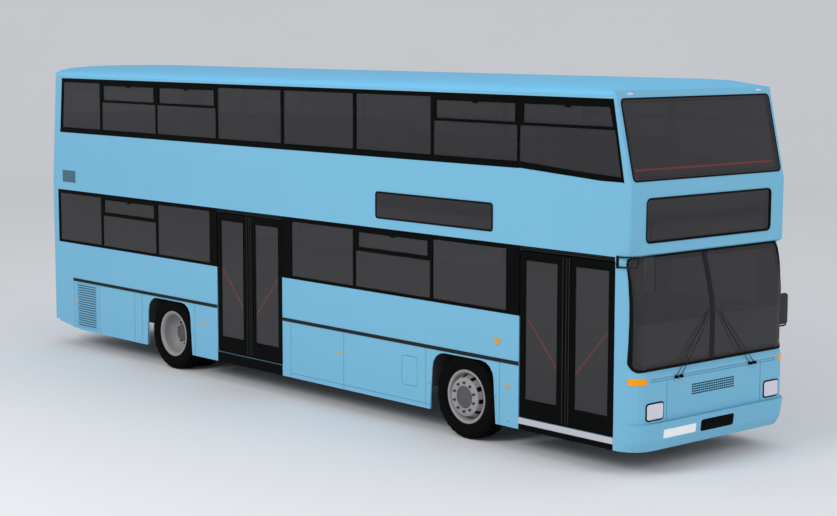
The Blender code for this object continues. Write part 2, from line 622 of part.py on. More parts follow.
def make_leaf(title, leaf):
    """One door leaf, its glass and the arm that carries it."""
    d, g, arm, lug = DOOR, DOOR_GLASS, ARM, LUG
    x = -PIVOT_LINE
    sign, pin = leaf["sign"], leaf["pin"]
    mid, far = pin + sign * leaf["slide"] / 2, pin + sign * leaf["slide"]
    arm_pivot = pivot(title + "_arm_pin", (x, along(pin), arm["low"]))
    bar = box(title + "_arm", about(x, arm["half"]), tuple(sorted((pin - sign * arm["half"], mid + sign * arm["half"]))),
              (arm["low"], arm["high"]), STEEL, arm_pivot)
    join(bar, tube(title + "_arm_top_pin", (x, along(pin), arm["low"] + TINY), (x, along(pin), arm["pin_top"]),
                   arm["pin"]))
    cut(bar, tube(title + "_arm_hole", (x, along(mid), arm["low"] - OVERRUN), (x, along(mid), arm["high"] + OVERRUN),
                  arm["hole"]))
    leaf_pivot = pivot(title + "_leaf_pin", (x, along(mid), arm["low"]), arm_pivot)
    ends = tuple(sorted((leaf["edge"], leaf["edge"] + sign * leaf["width"])))
    inner_face = d["face"] - d["thick"]
    panel = box(title + "_leaf", sides(-1, inner_face, d["face"]), ends, (d["low"], d["high"]), BLACK, leaf_pivot)
    hole = tuple(sorted((leaf["edge"] + sign * g["hinge_side"],
                         leaf["edge"] + sign * (leaf["width"] - g["middle_side"]))))
    seat = (hole[0] - g["lip"], hole[1] + g["lip"])
    seat_z = (g["low"] - g["lip"], g["high"] + g["lip"])
    back = d["face"] - g["set_in"]
    cut(panel,
        box(title + "_hole", sides(-1, inner_face - OVERRUN, d["face"] + OVERRUN), hole, (g["low"], g["high"])),
        box(title + "_lip", sides(-1, inner_face - OVERRUN, back), seat, seat_z))
    box(title + "_glass", sides(-1, back - SEAT_GAP - g["thick"], back - SEAT_GAP),
        (seat[0] + SEAT_GAP, seat[1] - SEAT_GAP), (seat_z[0] + SEAT_GAP, seat_z[1] - SEAT_GAP), GLASS, leaf_pivot)
    for part, station, radius, top in (("hang", mid, arm["hole"] - SEAT_GAP * 2, arm["high"]),
                                       ("slide", far, lug["pin"], arm["pin_top"])):
        join(panel,
             box(f"{title}_{part}_lug", sides(-1, PIVOT_LINE - lug["past"], d["face"] - d["thick"] / 2),
                 about(station, lug["half"]), (lug["low"], lug["high"])),
             tube(f"{title}_{part}_pin", (x, along(station), lug["low"] + TINY), (x, along(station), top), radius))


def make_doors():
    for name, door in DOORS.items():
        for label, leaf in zip(("front", "rear"), door_gear(door)):
            make_leaf(f"{name}_{label}", leaf)


# Roof

ROOF = {"wall": 0.04, "front_dome": 0.40, "rear_dome": 0.15, "lip": 0.012, "inner_start": 0.60, "inner_end": 0.25,
        "rear_gap": 6 * MM}
ARCH_SHARES = [(1.0, 0.0), (0.985, 0.16), (0.94, 0.40), (0.80, 0.72), (0.55, 0.91), (0.28, 0.98), (0.0, 1.0)]
DOME_SHARES = (0.0, 0.06, 0.16, 0.32, 0.55, 0.8, 1.0)


def corner_pull(reach, corner):
    """How far a rounded corner draws the side in, at a distance from the end."""
    return corner - math.sqrt(max(0.0, corner ** 2 - (corner - reach) ** 2)) if reach < corner else 0.0


def roof_ring(station, crown, shrink, bottom, end):
    """A section of the roof: flat below, upright edges and an arched top."""
    half = HALF - shrink - corner_pull(end - station, TAIL["corner"])
    edge = ROOF_EDGE - shrink
    right = [(half, bottom)] + [(half * across, edge + (crown - ROOF_EDGE) * up) for across, up in ARCH_SHARES]
    ring = right + [(-x, z) for x, z in right[-2::-1]]
    return [(x, along(station), z) for x, z in ring]


def roof_sections(start, end, shrink, bottom):
    """Sections of the roof, which domes down at both ends."""
    r = ROOF
    rise = CROWN - ROOF_EDGE - r["lip"]
    rows = [(start + share * r["front_dome"], share) for share in DOME_SHARES]
    rows += [(end - share * r["rear_dome"], share) for share in reversed(DOME_SHARES)]
    return [roof_ring(station, ROOF_EDGE + r["lip"] + rise * math.sin(share * math.pi / 2), shrink, bottom, end)
            for station, share in rows]


def make_roof():
    r = ROOF
    front, rear = NOSE_LEVELS[-1]["face"], LENGTH - TAIL["lean"] - r["rear_gap"]
    roof = loft("roof", roof_sections(front, rear, 0.0, EAVES + SEAT_GAP), PAINT)
    room = loft("roof_room", roof_sections(front + r["inner_start"], rear - r["inner_end"], r["wall"], EAVES - OVERRUN))
    ends = [level_at(NOSE_LEVELS, z)["end"] + SEAT_GAP for z in (EAVES, ROOF_EDGE)]
    over_nose = [(-OVERRUN, EAVES - OVERRUN), (ends[0], EAVES - OVERRUN), (ends[0], EAVES),
                 (ends[1], ROOF_EDGE + SEAT_GAP), (-OVERRUN, ROOF_EDGE + SEAT_GAP)]
    cut(roof, room,
        prism("roof_over_nose", along_all(over_nose), "X", -HALF - OVERRUN, HALF + OVERRUN),
        box("roof_behind_nose", about(0.0, INNER), (ends[0] - OVERRUN, front + r["inner_start"] + OVERRUN),
            (EAVES - OVERRUN, ROOF_EDGE + SEAT_GAP)))


# Decks, wheel boxes and step wells

BOX_WALL = 0.02
WHEEL_BOXES = {"front": {"inner": 0.55, "half": 0.57, "top": 1.06}, "rear": {"inner": 0.57, "half": 0.57, "top": 1.06}}
WELL = {"inner": 0.50, "past": 0.05}
NOSE_DECK_HALF = 1.0
TAIL_DECK_HALF = 1.08
STAIR = {"inner": 0.60, "outer": 1.19, "risers": 8, "going": 0.22, "foot_lag": 1.97, "head_room": 0.45, "waist": 0.09,
         "riser_thick": 0.03}


def stair_ends():
    """Stations of the flight's foot and head."""
    foot = FRONT_AXLE + STAIR["foot_lag"]
    return foot, foot - (STAIR["risers"] - 1) * STAIR["going"]


def floor_sections(nose):
    """Name and ends of each length of the lower floor, which is jointed at the step wells."""
    breaks = [FRONT_DOOR["rear"] + WELL["past"] + FLOOR, MIDDLE_DOOR["front"] - WELL["past"] - FLOOR / 2,
              MIDDLE_DOOR["rear"] + WELL["past"] + FLOOR]
    return [("entrance_floor", nose - OVERRUN, breaks[0]), ("saloon_floor", breaks[0] + SEAT_GAP, breaks[1] - SEAT_GAP),
            ("exit_floor", breaks[1], breaks[2]), ("rear_floor", breaks[2] + SEAT_GAP, LENGTH)]


def make_lower_floor():
    deck = (LOWER_DECK, REAR_DECK, ENGINE_DECK)
    starts = (NOSE_RETURN, REAR_DECK_START, ENGINE_DECK_START, TAIL_RETURN - TINY)
    outline = [(starts[0], deck[0]), (starts[1], deck[0]), (starts[1], deck[1]), (starts[2], deck[1]),
               (starts[2], deck[2]), (starts[3], deck[2]), (starts[3], deck[2] - FLOOR),
               (starts[2] + FLOOR, deck[2] - FLOOR), (starts[2] + FLOOR, deck[1] - FLOOR),
               (starts[1] + FLOOR, deck[1] - FLOOR), (starts[1] + FLOOR, deck[0] - FLOOR), (starts[0], deck[0] - FLOOR)]
    floor = prism("whole_lower_floor", along_all(outline), "X", -INSIDE, INSIDE)
    nose_inner = NOSE_LEVELS[0]["face"] + WALL + SEAT_GAP
    join(floor, box("floor_nose", about(0.0, NOSE_DECK_HALF), (nose_inner, NOSE_RETURN + OVERRUN),
                    (LOWER_DECK - FLOOR, LOWER_DECK)),
         box("floor_tail", about(0.0, TAIL_DECK_HALF), (TAIL_RETURN - OVERRUN, LENGTH - WALL - SEAT_GAP),
             (ENGINE_DECK - FLOOR, ENGINE_DECK)))
    for side, label in ((-1, "nearside"), (1, "offside")):
        for axle, station, deck_z in (("front", FRONT_AXLE, LOWER_DECK), ("rear", REAR_AXLE, REAR_DECK)):
            size = WHEEL_BOXES[axle]
            join(floor, box(f"{label}_{axle}_box", sides(side, size["inner"], INSIDE), about(station, size["half"]),
                            (deck_z - FLOOR / 2, size["top"])))
            cut(floor, box(f"{label}_{axle}_room", sides(side, size["inner"] + BOX_WALL, HALF),
                           about(station, size["half"] - BOX_WALL), (SKIRT, size["top"] - BOX_WALL)))
    for name, door in DOORS.items():
        ends = (max(door["front"] - WELL["past"], nose_inner), door["rear"] + WELL["past"])
        join(floor, box(name + "_well", sides(-1, WELL["inner"] - FLOOR, INSIDE), (ends[0] - FLOOR / 2, ends[1] + FLOOR),
                        (DOOR_SILL - FLOOR, LOWER_DECK)))
        cut(floor, box(name + "_well_room", sides(-1, WELL["inner"], HALF), ends, (DOOR_SILL, LOWER_DECK + OVERRUN)))
    boxes_top = max(size["top"] for size in WHEEL_BOXES.values())
    for name, start, end in floor_sections(nose_inner):
        boolean(box(name, about(0.0, HALF), (start, end), (SKIRT, boxes_top + OVERRUN), FLOORING), [floor], "INTERSECT")


def make_upper_floor():
    nose = level_at(NOSE_LEVELS, UPPER_DECK - FLOOR)["face"] + WALL + TINY
    foot, head = stair_ends()
    floor = box("upper_floor", about(0.0, INSIDE), (nose, TAIL_RETURN - TINY), (UPPER_DECK - FLOOR, UPPER_DECK), FLOORING)
    join(floor, box("upper_floor_tail", about(0.0, TAIL_DECK_HALF), (TAIL_RETURN - OVERRUN, LENGTH - WALL - SEAT_GAP),
                    (UPPER_DECK - FLOOR, UPPER_DECK)))
    cut(floor, box("stair_opening", (STAIR["inner"] - TINY, INSIDE + OVERRUN),
                   (head - SEAT_GAP, foot + STAIR["head_room"]), (UPPER_DECK - FLOOR - OVERRUN, UPPER_DECK + OVERRUN)))


def make_staircase():
    """A straight flight that climbs forwards, with its underside parallel to the nosings."""
    s = STAIR
    foot, head = stair_ends()
    rise = (UPPER_DECK - LOWER_DECK) / s["risers"]
    points = [(foot, LOWER_DECK + SEAT_GAP)]
    for i in range(s["risers"] - 1):
        points += [(foot - i * s["going"], LOWER_DECK + (i + 1) * rise),
                   (foot - (i + 1) * s["going"], LOWER_DECK + (i + 1) * rise)]
    points[-1] = (head + s["riser_thick"], points[-1][1])
    points += [(head + s["riser_thick"], UPPER_DECK), (head, UPPER_DECK),
               (head, LOWER_DECK + (s["risers"] - 1) * rise - s["waist"]),
               (foot - s["waist"] * s["going"] / rise, LOWER_DECK + SEAT_GAP)]
    prism("staircase", along_all(points), "X", s["inner"], s["outer"], FLOORING)


# Seats and the driver's place

SEAT = {"depth": 0.43, "cushion": 0.42, "pad": 0.10, "back": 1.00, "back_thick": 0.08, "lean": 0.09}
SEAT_X = {"inner": 0.30, "outer": 1.14}
SEAT_RAIL = {"low": 0.26, "high": 0.34, "wide": 0.06}
SEAT_PITCH = 0.75
FIRST_SEAT = 1.10
BENCH_FROM_TAIL = {"lower": 0.65, "upper": 0.74}
BENCH_LEAD = 0.54        # clear of the seat ahead of the bench
OFFSIDE_LOWER_START = 5.10
OFFSIDE_LOWER_ROWS = 3
REAR_LOWER_ROWS = 2
STAIR_SEAT_PITCH = 0.70
STAIR_SEATS = 3
BEHIND_STAIRS = 5.60


def seat_rows(start, end):
    """Front edges of seats at the usual pitch, as many as fit before a station."""
    count = int((end - start) / SEAT_PITCH) + 1
    return [start + i * SEAT_PITCH for i in range(count)]


def seat_outline(station, deck):
    """A seat from the side, facing forwards, with the station at its front edge."""
    s = SEAT
    rear = station + s["depth"]
    return [(station, deck + s["cushion"] - s["pad"]), (rear, deck + s["cushion"] - s["pad"]),
            (rear + s["lean"], deck + s["back"]), (rear + s["lean"] - s["back_thick"], deck + s["back"]),
            (rear - s["back_thick"], deck + s["cushion"]), (station, deck + s["cushion"])]


def seat_bank(bank, name, side, rows, deck, end):
    """Joins double seats to a bank, with the rail along the wall that carries them."""
    r = SEAT_RAIL
    join(bank, box(f"{name}_rail", sides(side, SEAT_X["outer"] - r["wide"], INSIDE), (rows[0] + r["wide"], end),
                   (deck + r["low"], deck + r["high"])))
    for i, station in enumerate(rows):
        join(bank, prism(f"{name}_{i}", along_all(seat_outline(station, deck)), "X",
                         *sides(side, SEAT_X["inner"], SEAT_X["outer"])))


def make_seats():
    """Upper seats, lower seats over the engine, and a lower bank behind the stairs."""
    for name, deck, level in (("upper_seats", UPPER_DECK, "upper"), ("lower_rear_seats", ENGINE_DECK, "lower")):
        bench = LENGTH - BENCH_FROM_TAIL[level]
        bank = prism(name, along_all(seat_outline(bench, deck)), "X", -INSIDE, INSIDE, CLOTH)
        last = bench - BENCH_LEAD
        for side, label in ((-1, "nearside"), (1, "offside")):
            if level == "lower":
                rows = [last - i * SEAT_PITCH for i in reversed(range(REAR_LOWER_ROWS))]
            elif side < 0:
                rows = seat_rows(FIRST_SEAT, last)
            else:
                rows = [FIRST_SEAT + i * STAIR_SEAT_PITCH for i in range(STAIR_SEATS)] + seat_rows(BEHIND_STAIRS, last)
            seat_bank(bank, f"{name}_{label}", side, rows, deck, bench + SEAT["depth"] / 2)
    rows = [OFFSIDE_LOWER_START + i * SEAT_PITCH for i in range(OFFSIDE_LOWER_ROWS)]
    bank = prism("lower_offside_seats", along_all(seat_outline(rows[-1], LOWER_DECK)), "X",
                 *sides(1, SEAT_X["inner"], SEAT_X["outer"]), CLOTH)
    seat_bank(bank, "lower_offside", 1, rows[:-1], LOWER_DECK, rows[-1] + SEAT["depth"] / 2)


DRIVER = {"x": (0.42, 0.88), "station": 1.10, "base": 0.14}
DASH = {"x": (0.24, 1.12), "rear": 0.62, "low": 0.72, "high": 1.04, "slope": 0.10, "foot": 0.16}
WHEEL = {"x": 0.65, "station": 0.72, "z": 1.14, "radius": 0.225, "rim": 0.014, "tilt": math.radians(-28),
         "spoke": 0.018, "column": 0.03, "column_foot": 0.32, "segments": 24, "sides": 8}


def make_driver_seat():
    """The driver's seat on its pedestal."""
    x0, x1 = DRIVER["x"]
    front, base = DRIVER["station"], DRIVER["base"]
    seat = prism("driver_seat", along_all(seat_outline(front, LOWER_DECK)), "X", x0, x1, CLOTH)
    join(seat, box("driver_base", (x0 + base / 2, x1 - base / 2), (front + base / 2, front + SEAT["depth"] - base / 2),
                   (LOWER_DECK + SEAT_GAP, LOWER_DECK + SEAT["cushion"] - SEAT["pad"] / 2)))


def make_dashboard():
    d, w = DASH, WHEEL
    front = NOSE_RETURN
    outline = [(front, d["low"]), (d["rear"] - d["slope"], d["low"]), (d["rear"], d["high"] - d["slope"]),
               (d["rear"] - d["slope"] / 2, d["high"]), (front, d["high"])]
    dash = prism("dashboard", along_all(outline), "X", *d["x"], PLASTIC)
    join(dash, box("dash_foot", (d["x"][0], d["x"][0] + d["foot"]), (front, front + d["foot"]),
                   (LOWER_DECK + SEAT_GAP, d["low"] + OVERRUN)))
    place = Matrix.Translation((w["x"], along(w["station"]), w["z"])) @ Matrix.Rotation(w["tilt"], 4, "X")
    bm = bmesh.new()
    ring = [bm.verts.new(place @ Vector((w["radius"] + w["rim"] * math.cos(a), 0, w["rim"] * math.sin(a))))
            for a in [math.tau * k / w["sides"] for k in range(w["sides"])]]
    edges = [bm.edges.new((ring[i - 1], ring[i])) for i in range(len(ring))]
    bmesh.ops.spin(bm, geom=ring + edges, cent=place.translation, axis=place.to_3x3() @ Vector((0, 0, 1)),
                   angle=math.tau, steps=w["segments"], use_merge=True)
    wheel = finish(bm, "steering_wheel_rim")
    spoke_bm = bmesh.new()
    prism_into(spoke_bm, rectangle(about(0.0, w["radius"]), about(0.0, w["spoke"])), "Z", -w["rim"] / 2, w["rim"] / 2)
    spoke_bm.transform(place)
    spokes = finish(spoke_bm, "steering_wheel_spokes")
    column = tube("steering_column", place @ Vector((0, 0, -w["column_foot"])), place @ Vector((0, 0, w["rim"] / 4)),
                  w["column"])
    join(dash, column, spokes, wheel)


# Chassis, axles and wheels

CHASSIS = {"x": 0.40, "half": 0.04, "low": 0.38, "rear_low": 0.62, "start": 0.20, "end_from_tail": 0.48, "ramp": 0.20,
           "cross": 0.06, "lip": 4 * MM, "rear_cross_low": 0.68}
CROSS_SHARES = (0.10, 0.22, 0.45, 0.65, 0.85)
REAR_CROSS_SHARES = (0.10, 0.46)
OUTRIGGER = {"half": 0.04, "low": 0.43, "front_lag": 1.29, "door_lead": 0.34}
JACKING = {"station": 4.40, "half": 0.03, "long": 0.06, "deep": 8 * MM}
ENGINE = {"from_tail": 1.90, "long": 1.40, "low": 0.33, "high": 0.88}
TYRE = {"radius": 0.4785, "half": 0.138, "seat": 0.286, "flange": 0.305, "rim_half": 0.105}
FRONT_TRACK = 1.075
REAR_TRACK = {"outer": 1.07, "inner": 0.76, "joint": 0.915}
KINGPIN = {"x": 0.95, "radius": 0.015, "boss": 0.035, "boss_low": 0.38, "boss_high": 0.58, "ear": 0.03}
FRONT_BEAM = {"low": 0.22, "high": 0.32, "half": 0.045, "drop": 0.75, "rise": 0.21, "pad": 0.05}
DRUM = {"radius": 0.205, "inner": 1.00, "outer": 1.11, "spindle": 0.05}
REAR_TUBE = {"radius": 0.08, "housing": 0.19, "housing_half": 0.10, "drum": 0.19, "drum_inner": 0.66, "pad": 0.05}
# Tyre section as shares of half the width and of the height from seat to tread, from bead to crown
TYRE_SHARES = [(0.757, 0.0), (0.757, 0.12), (1.0, 0.42), (0.97, 0.72), (0.88, 0.92), (0.72, 1.0)]
FRONT_HUB = {"back": 0.045, "face": 0.085, "front": 0.110, "cap": 0.150, "cap_radius": 0.065, "dish": 0.17,
             "bend": 0.245, "metal": 0.010, "step": 0.02}
REAR_HUB = {"disc": 0.012, "cap": 1.03, "cap_radius": 0.075, "dish": 0.20, "bend": 0.245, "reach": 0.055}


def make_chassis():
    c = CHASSIS
    top, rear_top = LOWER_DECK - FLOOR - SEAT_GAP, REAR_DECK - FLOOR - SEAT_GAP
    kick = REAR_DECK_START + FLOOR + SEAT_GAP
    end = LENGTH - c["end_from_tail"]
    outline = [(c["start"], c["low"]), (kick, c["low"]), (kick + c["ramp"], c["rear_low"]), (end, c["rear_low"]),
               (end, rear_top), (kick, rear_top), (kick, top), (c["start"], top)]
    frame = prism("chassis_frame", along_all(outline), "X", *sides(-1, c["x"] - c["half"], c["x"] + c["half"]), STEEL)
    join(frame, prism("offside_rail", along_all(outline), "X", *sides(1, c["x"] - c["half"], c["x"] + c["half"])))
    for i, station in enumerate(between(c["start"], kick, CROSS_SHARES)):
        join(frame, box(f"crossmember_{i}", about(0.0, c["x"]), about(station, c["cross"]),
                        (c["low"] + c["lip"], top - c["lip"])))
    for i, station in enumerate(between(kick, end, REAR_CROSS_SHARES)):
        join(frame, box(f"rear_crossmember_{i}", about(0.0, c["x"]), about(station, c["cross"] / 2),
                        (c["rear_cross_low"], rear_top - c["lip"])))
    outriggers = (FRONT_AXLE + OUTRIGGER["front_lag"], MIDDLE_DOOR["front"] - OUTRIGGER["door_lead"])
    for i, station in enumerate(outriggers):
        join(frame, box(f"outrigger_{i}", about(0.0, INSIDE), about(station, OUTRIGGER["half"]),
                        (OUTRIGGER["low"], top - c["lip"] / 2)))
    for side, label in ((-1, "nearside"), (1, "offside")):
        join(frame, box(label + "_jacking_pad", sides(side, c["x"] - JACKING["half"], c["x"] + JACKING["half"]),
                        about(JACKING["station"], JACKING["long"]), (c["low"] - JACKING["deep"], c["low"] + c["lip"])))
    e = ENGINE
    start = LENGTH - e["from_tail"]
    box("engine", about(0.0, c["x"] - c["half"] - SEAT_GAP), (start, start + e["long"]), (e["low"], e["high"]), STEEL)


def make_front_axle():
    b, k, d = FRONT_BEAM, KINGPIN, DRUM
    near = k["x"] - k["boss"] / 2
    axle_z = TYRE["radius"]
    outline = [(-near, b["low"] + b["rise"]), (-b["drop"], b["low"]), (b["drop"], b["low"]), (near, b["low"] + b["rise"]),
               (near, b["high"] + b["rise"]), (b["drop"], b["high"]), (-b["drop"], b["high"]), (-near, b["high"] + b["rise"])]
    beam = prism("front_axle", outline, "Y", along(FRONT_AXLE - b["half"]), along(FRONT_AXLE + b["half"]), STEEL)
    for side, label in ((-1, "nearside"), (1, "offside")):
        line = (side * k["x"], along(FRONT_AXLE))
        join(beam, tube(label + "_kingpin_boss", (*line, k["boss_low"]), (*line, k["boss_high"]), k["boss"], segments=16),
             box(label + "_spring_pad", sides(side, CHASSIS["x"] - b["pad"], CHASSIS["x"] + b["pad"]),
                 about(FRONT_AXLE, b["half"] * 2), (b["high"] - OVERRUN, CHASSIS["low"] - SEAT_GAP)))
        cut(beam, tube(label + "_kingpin_hole", (*line, k["boss_low"] - OVERRUN * 2), (*line, k["boss_high"] + OVERRUN * 2),
                       k["radius"] + SEAT_GAP * 2, segments=16))
        steer = pivot(label + "_kingpin", (*line, axle_z))
        hub_face = FRONT_TRACK + FRONT_HUB["face"] - SEAT_GAP
        profile = [(d["inner"], 0.0), (d["inner"], d["radius"]), (d["outer"], d["radius"]), (d["outer"], d["spindle"]),
                   (hub_face, d["spindle"]), (hub_face, 0.0)]
        knuckle = turned(label + "_knuckle", [(side * a, r) for a, r in profile], (0.0, along(FRONT_AXLE), axle_z),
                         STEEL, steer)
        reach = sides(side, k["x"] - k["boss"], d["inner"] + OVERRUN / 3)
        depth = about(FRONT_AXLE, k["boss"])
        join(knuckle,
             box(label + "_upper_ear", reach, depth, (k["boss_high"] + SEAT_GAP, k["boss_high"] + k["ear"])),
             box(label + "_lower_ear", reach, depth, (k["boss_low"] - k["ear"], k["boss_low"] - SEAT_GAP)),
             tube(label + "_kingpin_bar", (*line, k["boss_low"] - k["ear"] / 2), (*line, k["boss_high"] + k["ear"] / 2),
                  k["radius"], segments=16))
        make_front_wheel(side, label, steer)


def make_tyre(name, x, station, parent):
    t = TYRE
    height = t["radius"] - t["seat"] - SEAT_GAP
    outer = [(t["half"] * across, t["seat"] + SEAT_GAP + height * up) for across, up in TYRE_SHARES]
    profile = outer + [(-a, r) for a, r in reversed(outer)]
    return turned(name, [(x + a, r) for a, r in profile], (0.0, along(station), t["radius"]), RUBBER, parent)


def rim_edge(centre):
    """The outside of a rim from its outboard lip to its inboard one, as (x, radius) points."""
    t = TYRE
    metal = FRONT_HUB["metal"]
    seat, lip, inner = t["rim_half"], t["rim_half"] + metal, t["seat"] - metal
    return [(centre + a, r) for a, r in ((lip, inner), (lip, t["flange"]), (seat, t["flange"]), (seat, t["seat"]),
                                         (-seat, t["seat"]), (-seat, t["flange"]), (-lip, t["flange"]), (-lip, inner))]


def make_front_wheel(side, label, steer):
    h = FRONT_HUB
    inner = TYRE["seat"] - h["metal"] * 2
    spin = pivot(label + "_front_hub", (side * FRONT_TRACK, along(FRONT_AXLE), TYRE["radius"]), steer)
    profile = [(h["cap"], 0.0), (h["cap"], h["cap_radius"] - h["step"]), (h["cap"] - h["step"], h["cap_radius"]),
               (h["front"], h["cap_radius"] + h["step"]), (h["front"], h["dish"]), (h["back"] + h["step"], h["bend"]),
               (h["back"] + h["metal"], inner)]
    profile += rim_edge(0.0)
    profile += [(h["back"] - h["metal"], inner), (h["back"], h["bend"]), (h["face"], h["dish"]), (h["face"], 0.0)]
    turned(label + "_front_rim", [(side * (FRONT_TRACK + a), r) for a, r in profile],
           (0.0, along(FRONT_AXLE), TYRE["radius"]), RIM, spin)
    make_tyre(label + "_front_tyre", side * FRONT_TRACK, FRONT_AXLE, spin)


def make_rear_axle():
    r = REAR_TUBE
    end = REAR_TRACK["joint"] - REAR_HUB["disc"] - SEAT_GAP
    slope = r["housing_half"] * 3 / 2
    right = [(end, 0.0), (end, r["drum"]), (r["drum_inner"], r["drum"]), (r["drum_inner"], r["radius"]),
             (slope, r["radius"]), (r["housing_half"], r["housing"])]
    axle = turned("rear_axle", right + [(-x, radius) for x, radius in reversed(right)],
                  (0.0, along(REAR_AXLE), TYRE["radius"]), STEEL)
    for side, label in ((-1, "nearside"), (1, "offside")):
        join(axle, box(label + "_rear_pad", sides(side, CHASSIS["x"] - r["pad"], CHASSIS["x"] + r["pad"]),
                       about(REAR_AXLE, r["pad"]), (TYRE["radius"], CHASSIS["rear_low"] - SEAT_GAP)))
        make_rear_wheels(side, label)


def make_rear_wheels(side, label):
    """Twin tyres on two dished discs, bolted back to back."""
    h = REAR_HUB
    metal, disc = FRONT_HUB["metal"], REAR_HUB["disc"]
    outer, inner, joint = REAR_TRACK["outer"], REAR_TRACK["inner"], REAR_TRACK["joint"]
    barrel = TYRE["seat"] - metal * 2
    lip = TYRE["rim_half"] + metal
    web = TYRE["rim_half"] - metal * 2
    spin = pivot(label + "_rear_hub", (side * joint, along(REAR_AXLE), TYRE["radius"]))
    profile = [(h["cap"], 0.0), (h["cap"], h["cap_radius"]), (joint + disc, h["cap_radius"] + disc),
               (joint + disc, h["dish"]), (joint + h["reach"], h["bend"]), (outer - web, barrel)]
    profile += rim_edge(outer)[:-1]
    profile += [(outer - lip, barrel), (joint + h["reach"] - disc * 2, h["bend"]), (joint, h["dish"]),
                (joint - h["reach"] + disc * 2, h["bend"]), (inner + lip, barrel)]
    profile += rim_edge(inner)[1:]
    profile += [(inner + web, barrel), (joint - h["reach"], h["bend"]), (joint - disc, h["dish"]), (joint - disc, 0.0)]
    turned(label + "_rear_rims", [(side * a, r) for a, r in profile], (0.0, along(REAR_AXLE), TYRE["radius"]), RIM, spin)
    for place, x in (("outer", outer), ("inner", inner)):
        make_tyre(f"{label}_rear_{place}_tyre", side * x, REAR_AXLE, spin)


# Mirrors

MIRROR = {"out": 0.25, "wide": 0.18, "thick": 0.05, "arm": 0.014, "foot": 0.03}
MIRRORS = {
    "nearside": {"side": -1, "z": (1.96, 2.32), "front": -MIRROR_LEAD, "root": 0.315, "arm_z": 2.20},
    "offside": {"side": 1, "z": (1.28, 1.65), "front": 0.234, "root": 0.33, "arm_z": 1.46},
}


def make_mirrors():
    reach = HALF + MIRROR["out"]
    arm, foot = MIRROR["arm"], MIRROR["foot"]
    for label, m in MIRRORS.items():
        side = m["side"]
        head = box(label + "_mirror", sides(side, reach - MIRROR["wide"], reach),
                   (m["front"], m["front"] + MIRROR["thick"]), m["z"], BLACK)
        join(head,
             tube(label + "_mirror_arm",
                  (side * (reach - MIRROR["wide"] / 2), along(m["front"] + MIRROR["thick"] / 2), m["arm_z"]),
                  (side * (HALF + foot / 2), along(m["root"]), m["arm_z"]), arm),
             box(label + "_mirror_foot", sides(side, HALF + SEAT_GAP, HALF + foot), about(m["root"], arm * 2),
                 about(m["arm_z"], arm * 3)))


def build():
    for old in list(bpy.data.objects):
        bpy.data.objects.remove(old)
    make_nose()
    make_tail()
    make_walls()
    make_roof()
    make_lower_floor()
    make_upper_floor()
    make_staircase()
    make_seats()
    make_driver_seat()
    make_dashboard()
    make_chassis()
    make_front_axle()
    make_rear_axle()
    make_doors()
    make_mirrors()


build()
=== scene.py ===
import json
import math

import bmesh
import bpy
from mathutils import Matrix, Vector

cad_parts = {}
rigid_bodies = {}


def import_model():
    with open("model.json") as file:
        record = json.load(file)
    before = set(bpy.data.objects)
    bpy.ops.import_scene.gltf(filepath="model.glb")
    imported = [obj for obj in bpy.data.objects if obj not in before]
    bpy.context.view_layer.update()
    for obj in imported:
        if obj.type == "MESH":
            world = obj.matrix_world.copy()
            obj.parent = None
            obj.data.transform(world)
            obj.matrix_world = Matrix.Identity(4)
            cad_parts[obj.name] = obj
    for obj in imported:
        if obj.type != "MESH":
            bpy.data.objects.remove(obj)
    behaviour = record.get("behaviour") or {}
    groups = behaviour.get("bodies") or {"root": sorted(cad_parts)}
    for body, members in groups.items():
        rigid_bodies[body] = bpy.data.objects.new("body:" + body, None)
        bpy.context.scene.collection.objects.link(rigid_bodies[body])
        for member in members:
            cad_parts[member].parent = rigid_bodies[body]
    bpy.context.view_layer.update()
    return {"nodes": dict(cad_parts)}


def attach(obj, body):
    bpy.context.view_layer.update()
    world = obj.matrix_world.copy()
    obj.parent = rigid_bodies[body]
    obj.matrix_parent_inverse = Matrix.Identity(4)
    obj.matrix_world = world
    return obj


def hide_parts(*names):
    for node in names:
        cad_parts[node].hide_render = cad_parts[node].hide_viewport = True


for thing in list(bpy.data.objects):
    bpy.data.objects.remove(thing, do_unlink=True)
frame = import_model()
nodes = frame["nodes"]

# metres; a station s is measured back from the nose, and the frame's y is s less the middle
middle = 5.554
half = 1.25
frontAxle = 2.61
rearAxle = 8.386
sides = (("nearside", -1), ("offside", 1))


def linear(colour):
    # an sRGB hex value as linear red, green and blue, with full alpha
    parts = [(colour >> shift & 255) / 255 for shift in (16, 8, 0)]
    return tuple(c / 12.92 if c <= 0.04045 else ((c + 0.055) / 1.055) ** 2.4 for c in parts) + (1.0,)


def addNode(tree, kind, links=(), **settings):
    node = tree.nodes.new(kind)
    for key, value in settings.items():
        setattr(node, key, value)
    for socket, value in dict(links).items():
        if isinstance(value, bpy.types.NodeSocket):
            tree.links.new(value, node.inputs[socket])
        else:
            node.inputs[socket].default_value = value
    return node


def noise(tree, scale, detail, stretch):
    where = addNode(tree, "ShaderNodeTexCoord").outputs["Object"]
    shape = addNode(tree, "ShaderNodeMapping", {"Vector": where, "Scale": stretch})
    settings = {"Vector": shape.outputs[0], "Scale": scale, "Detail": detail}
    return addNode(tree, "ShaderNodeTexNoise", settings).outputs["Fac"]


def spread(tree, value, low, high):
    done = addNode(tree, "ShaderNodeMapRange", {"Value": value, "To Min": low, "To Max": high})
    return done.outputs["Result"]


def blendColours(tree, factor, first, second):
    mixed = addNode(tree, "ShaderNodeMix", {0: factor, 6: first, 7: second}, data_type="RGBA")
    return mixed.outputs[2]


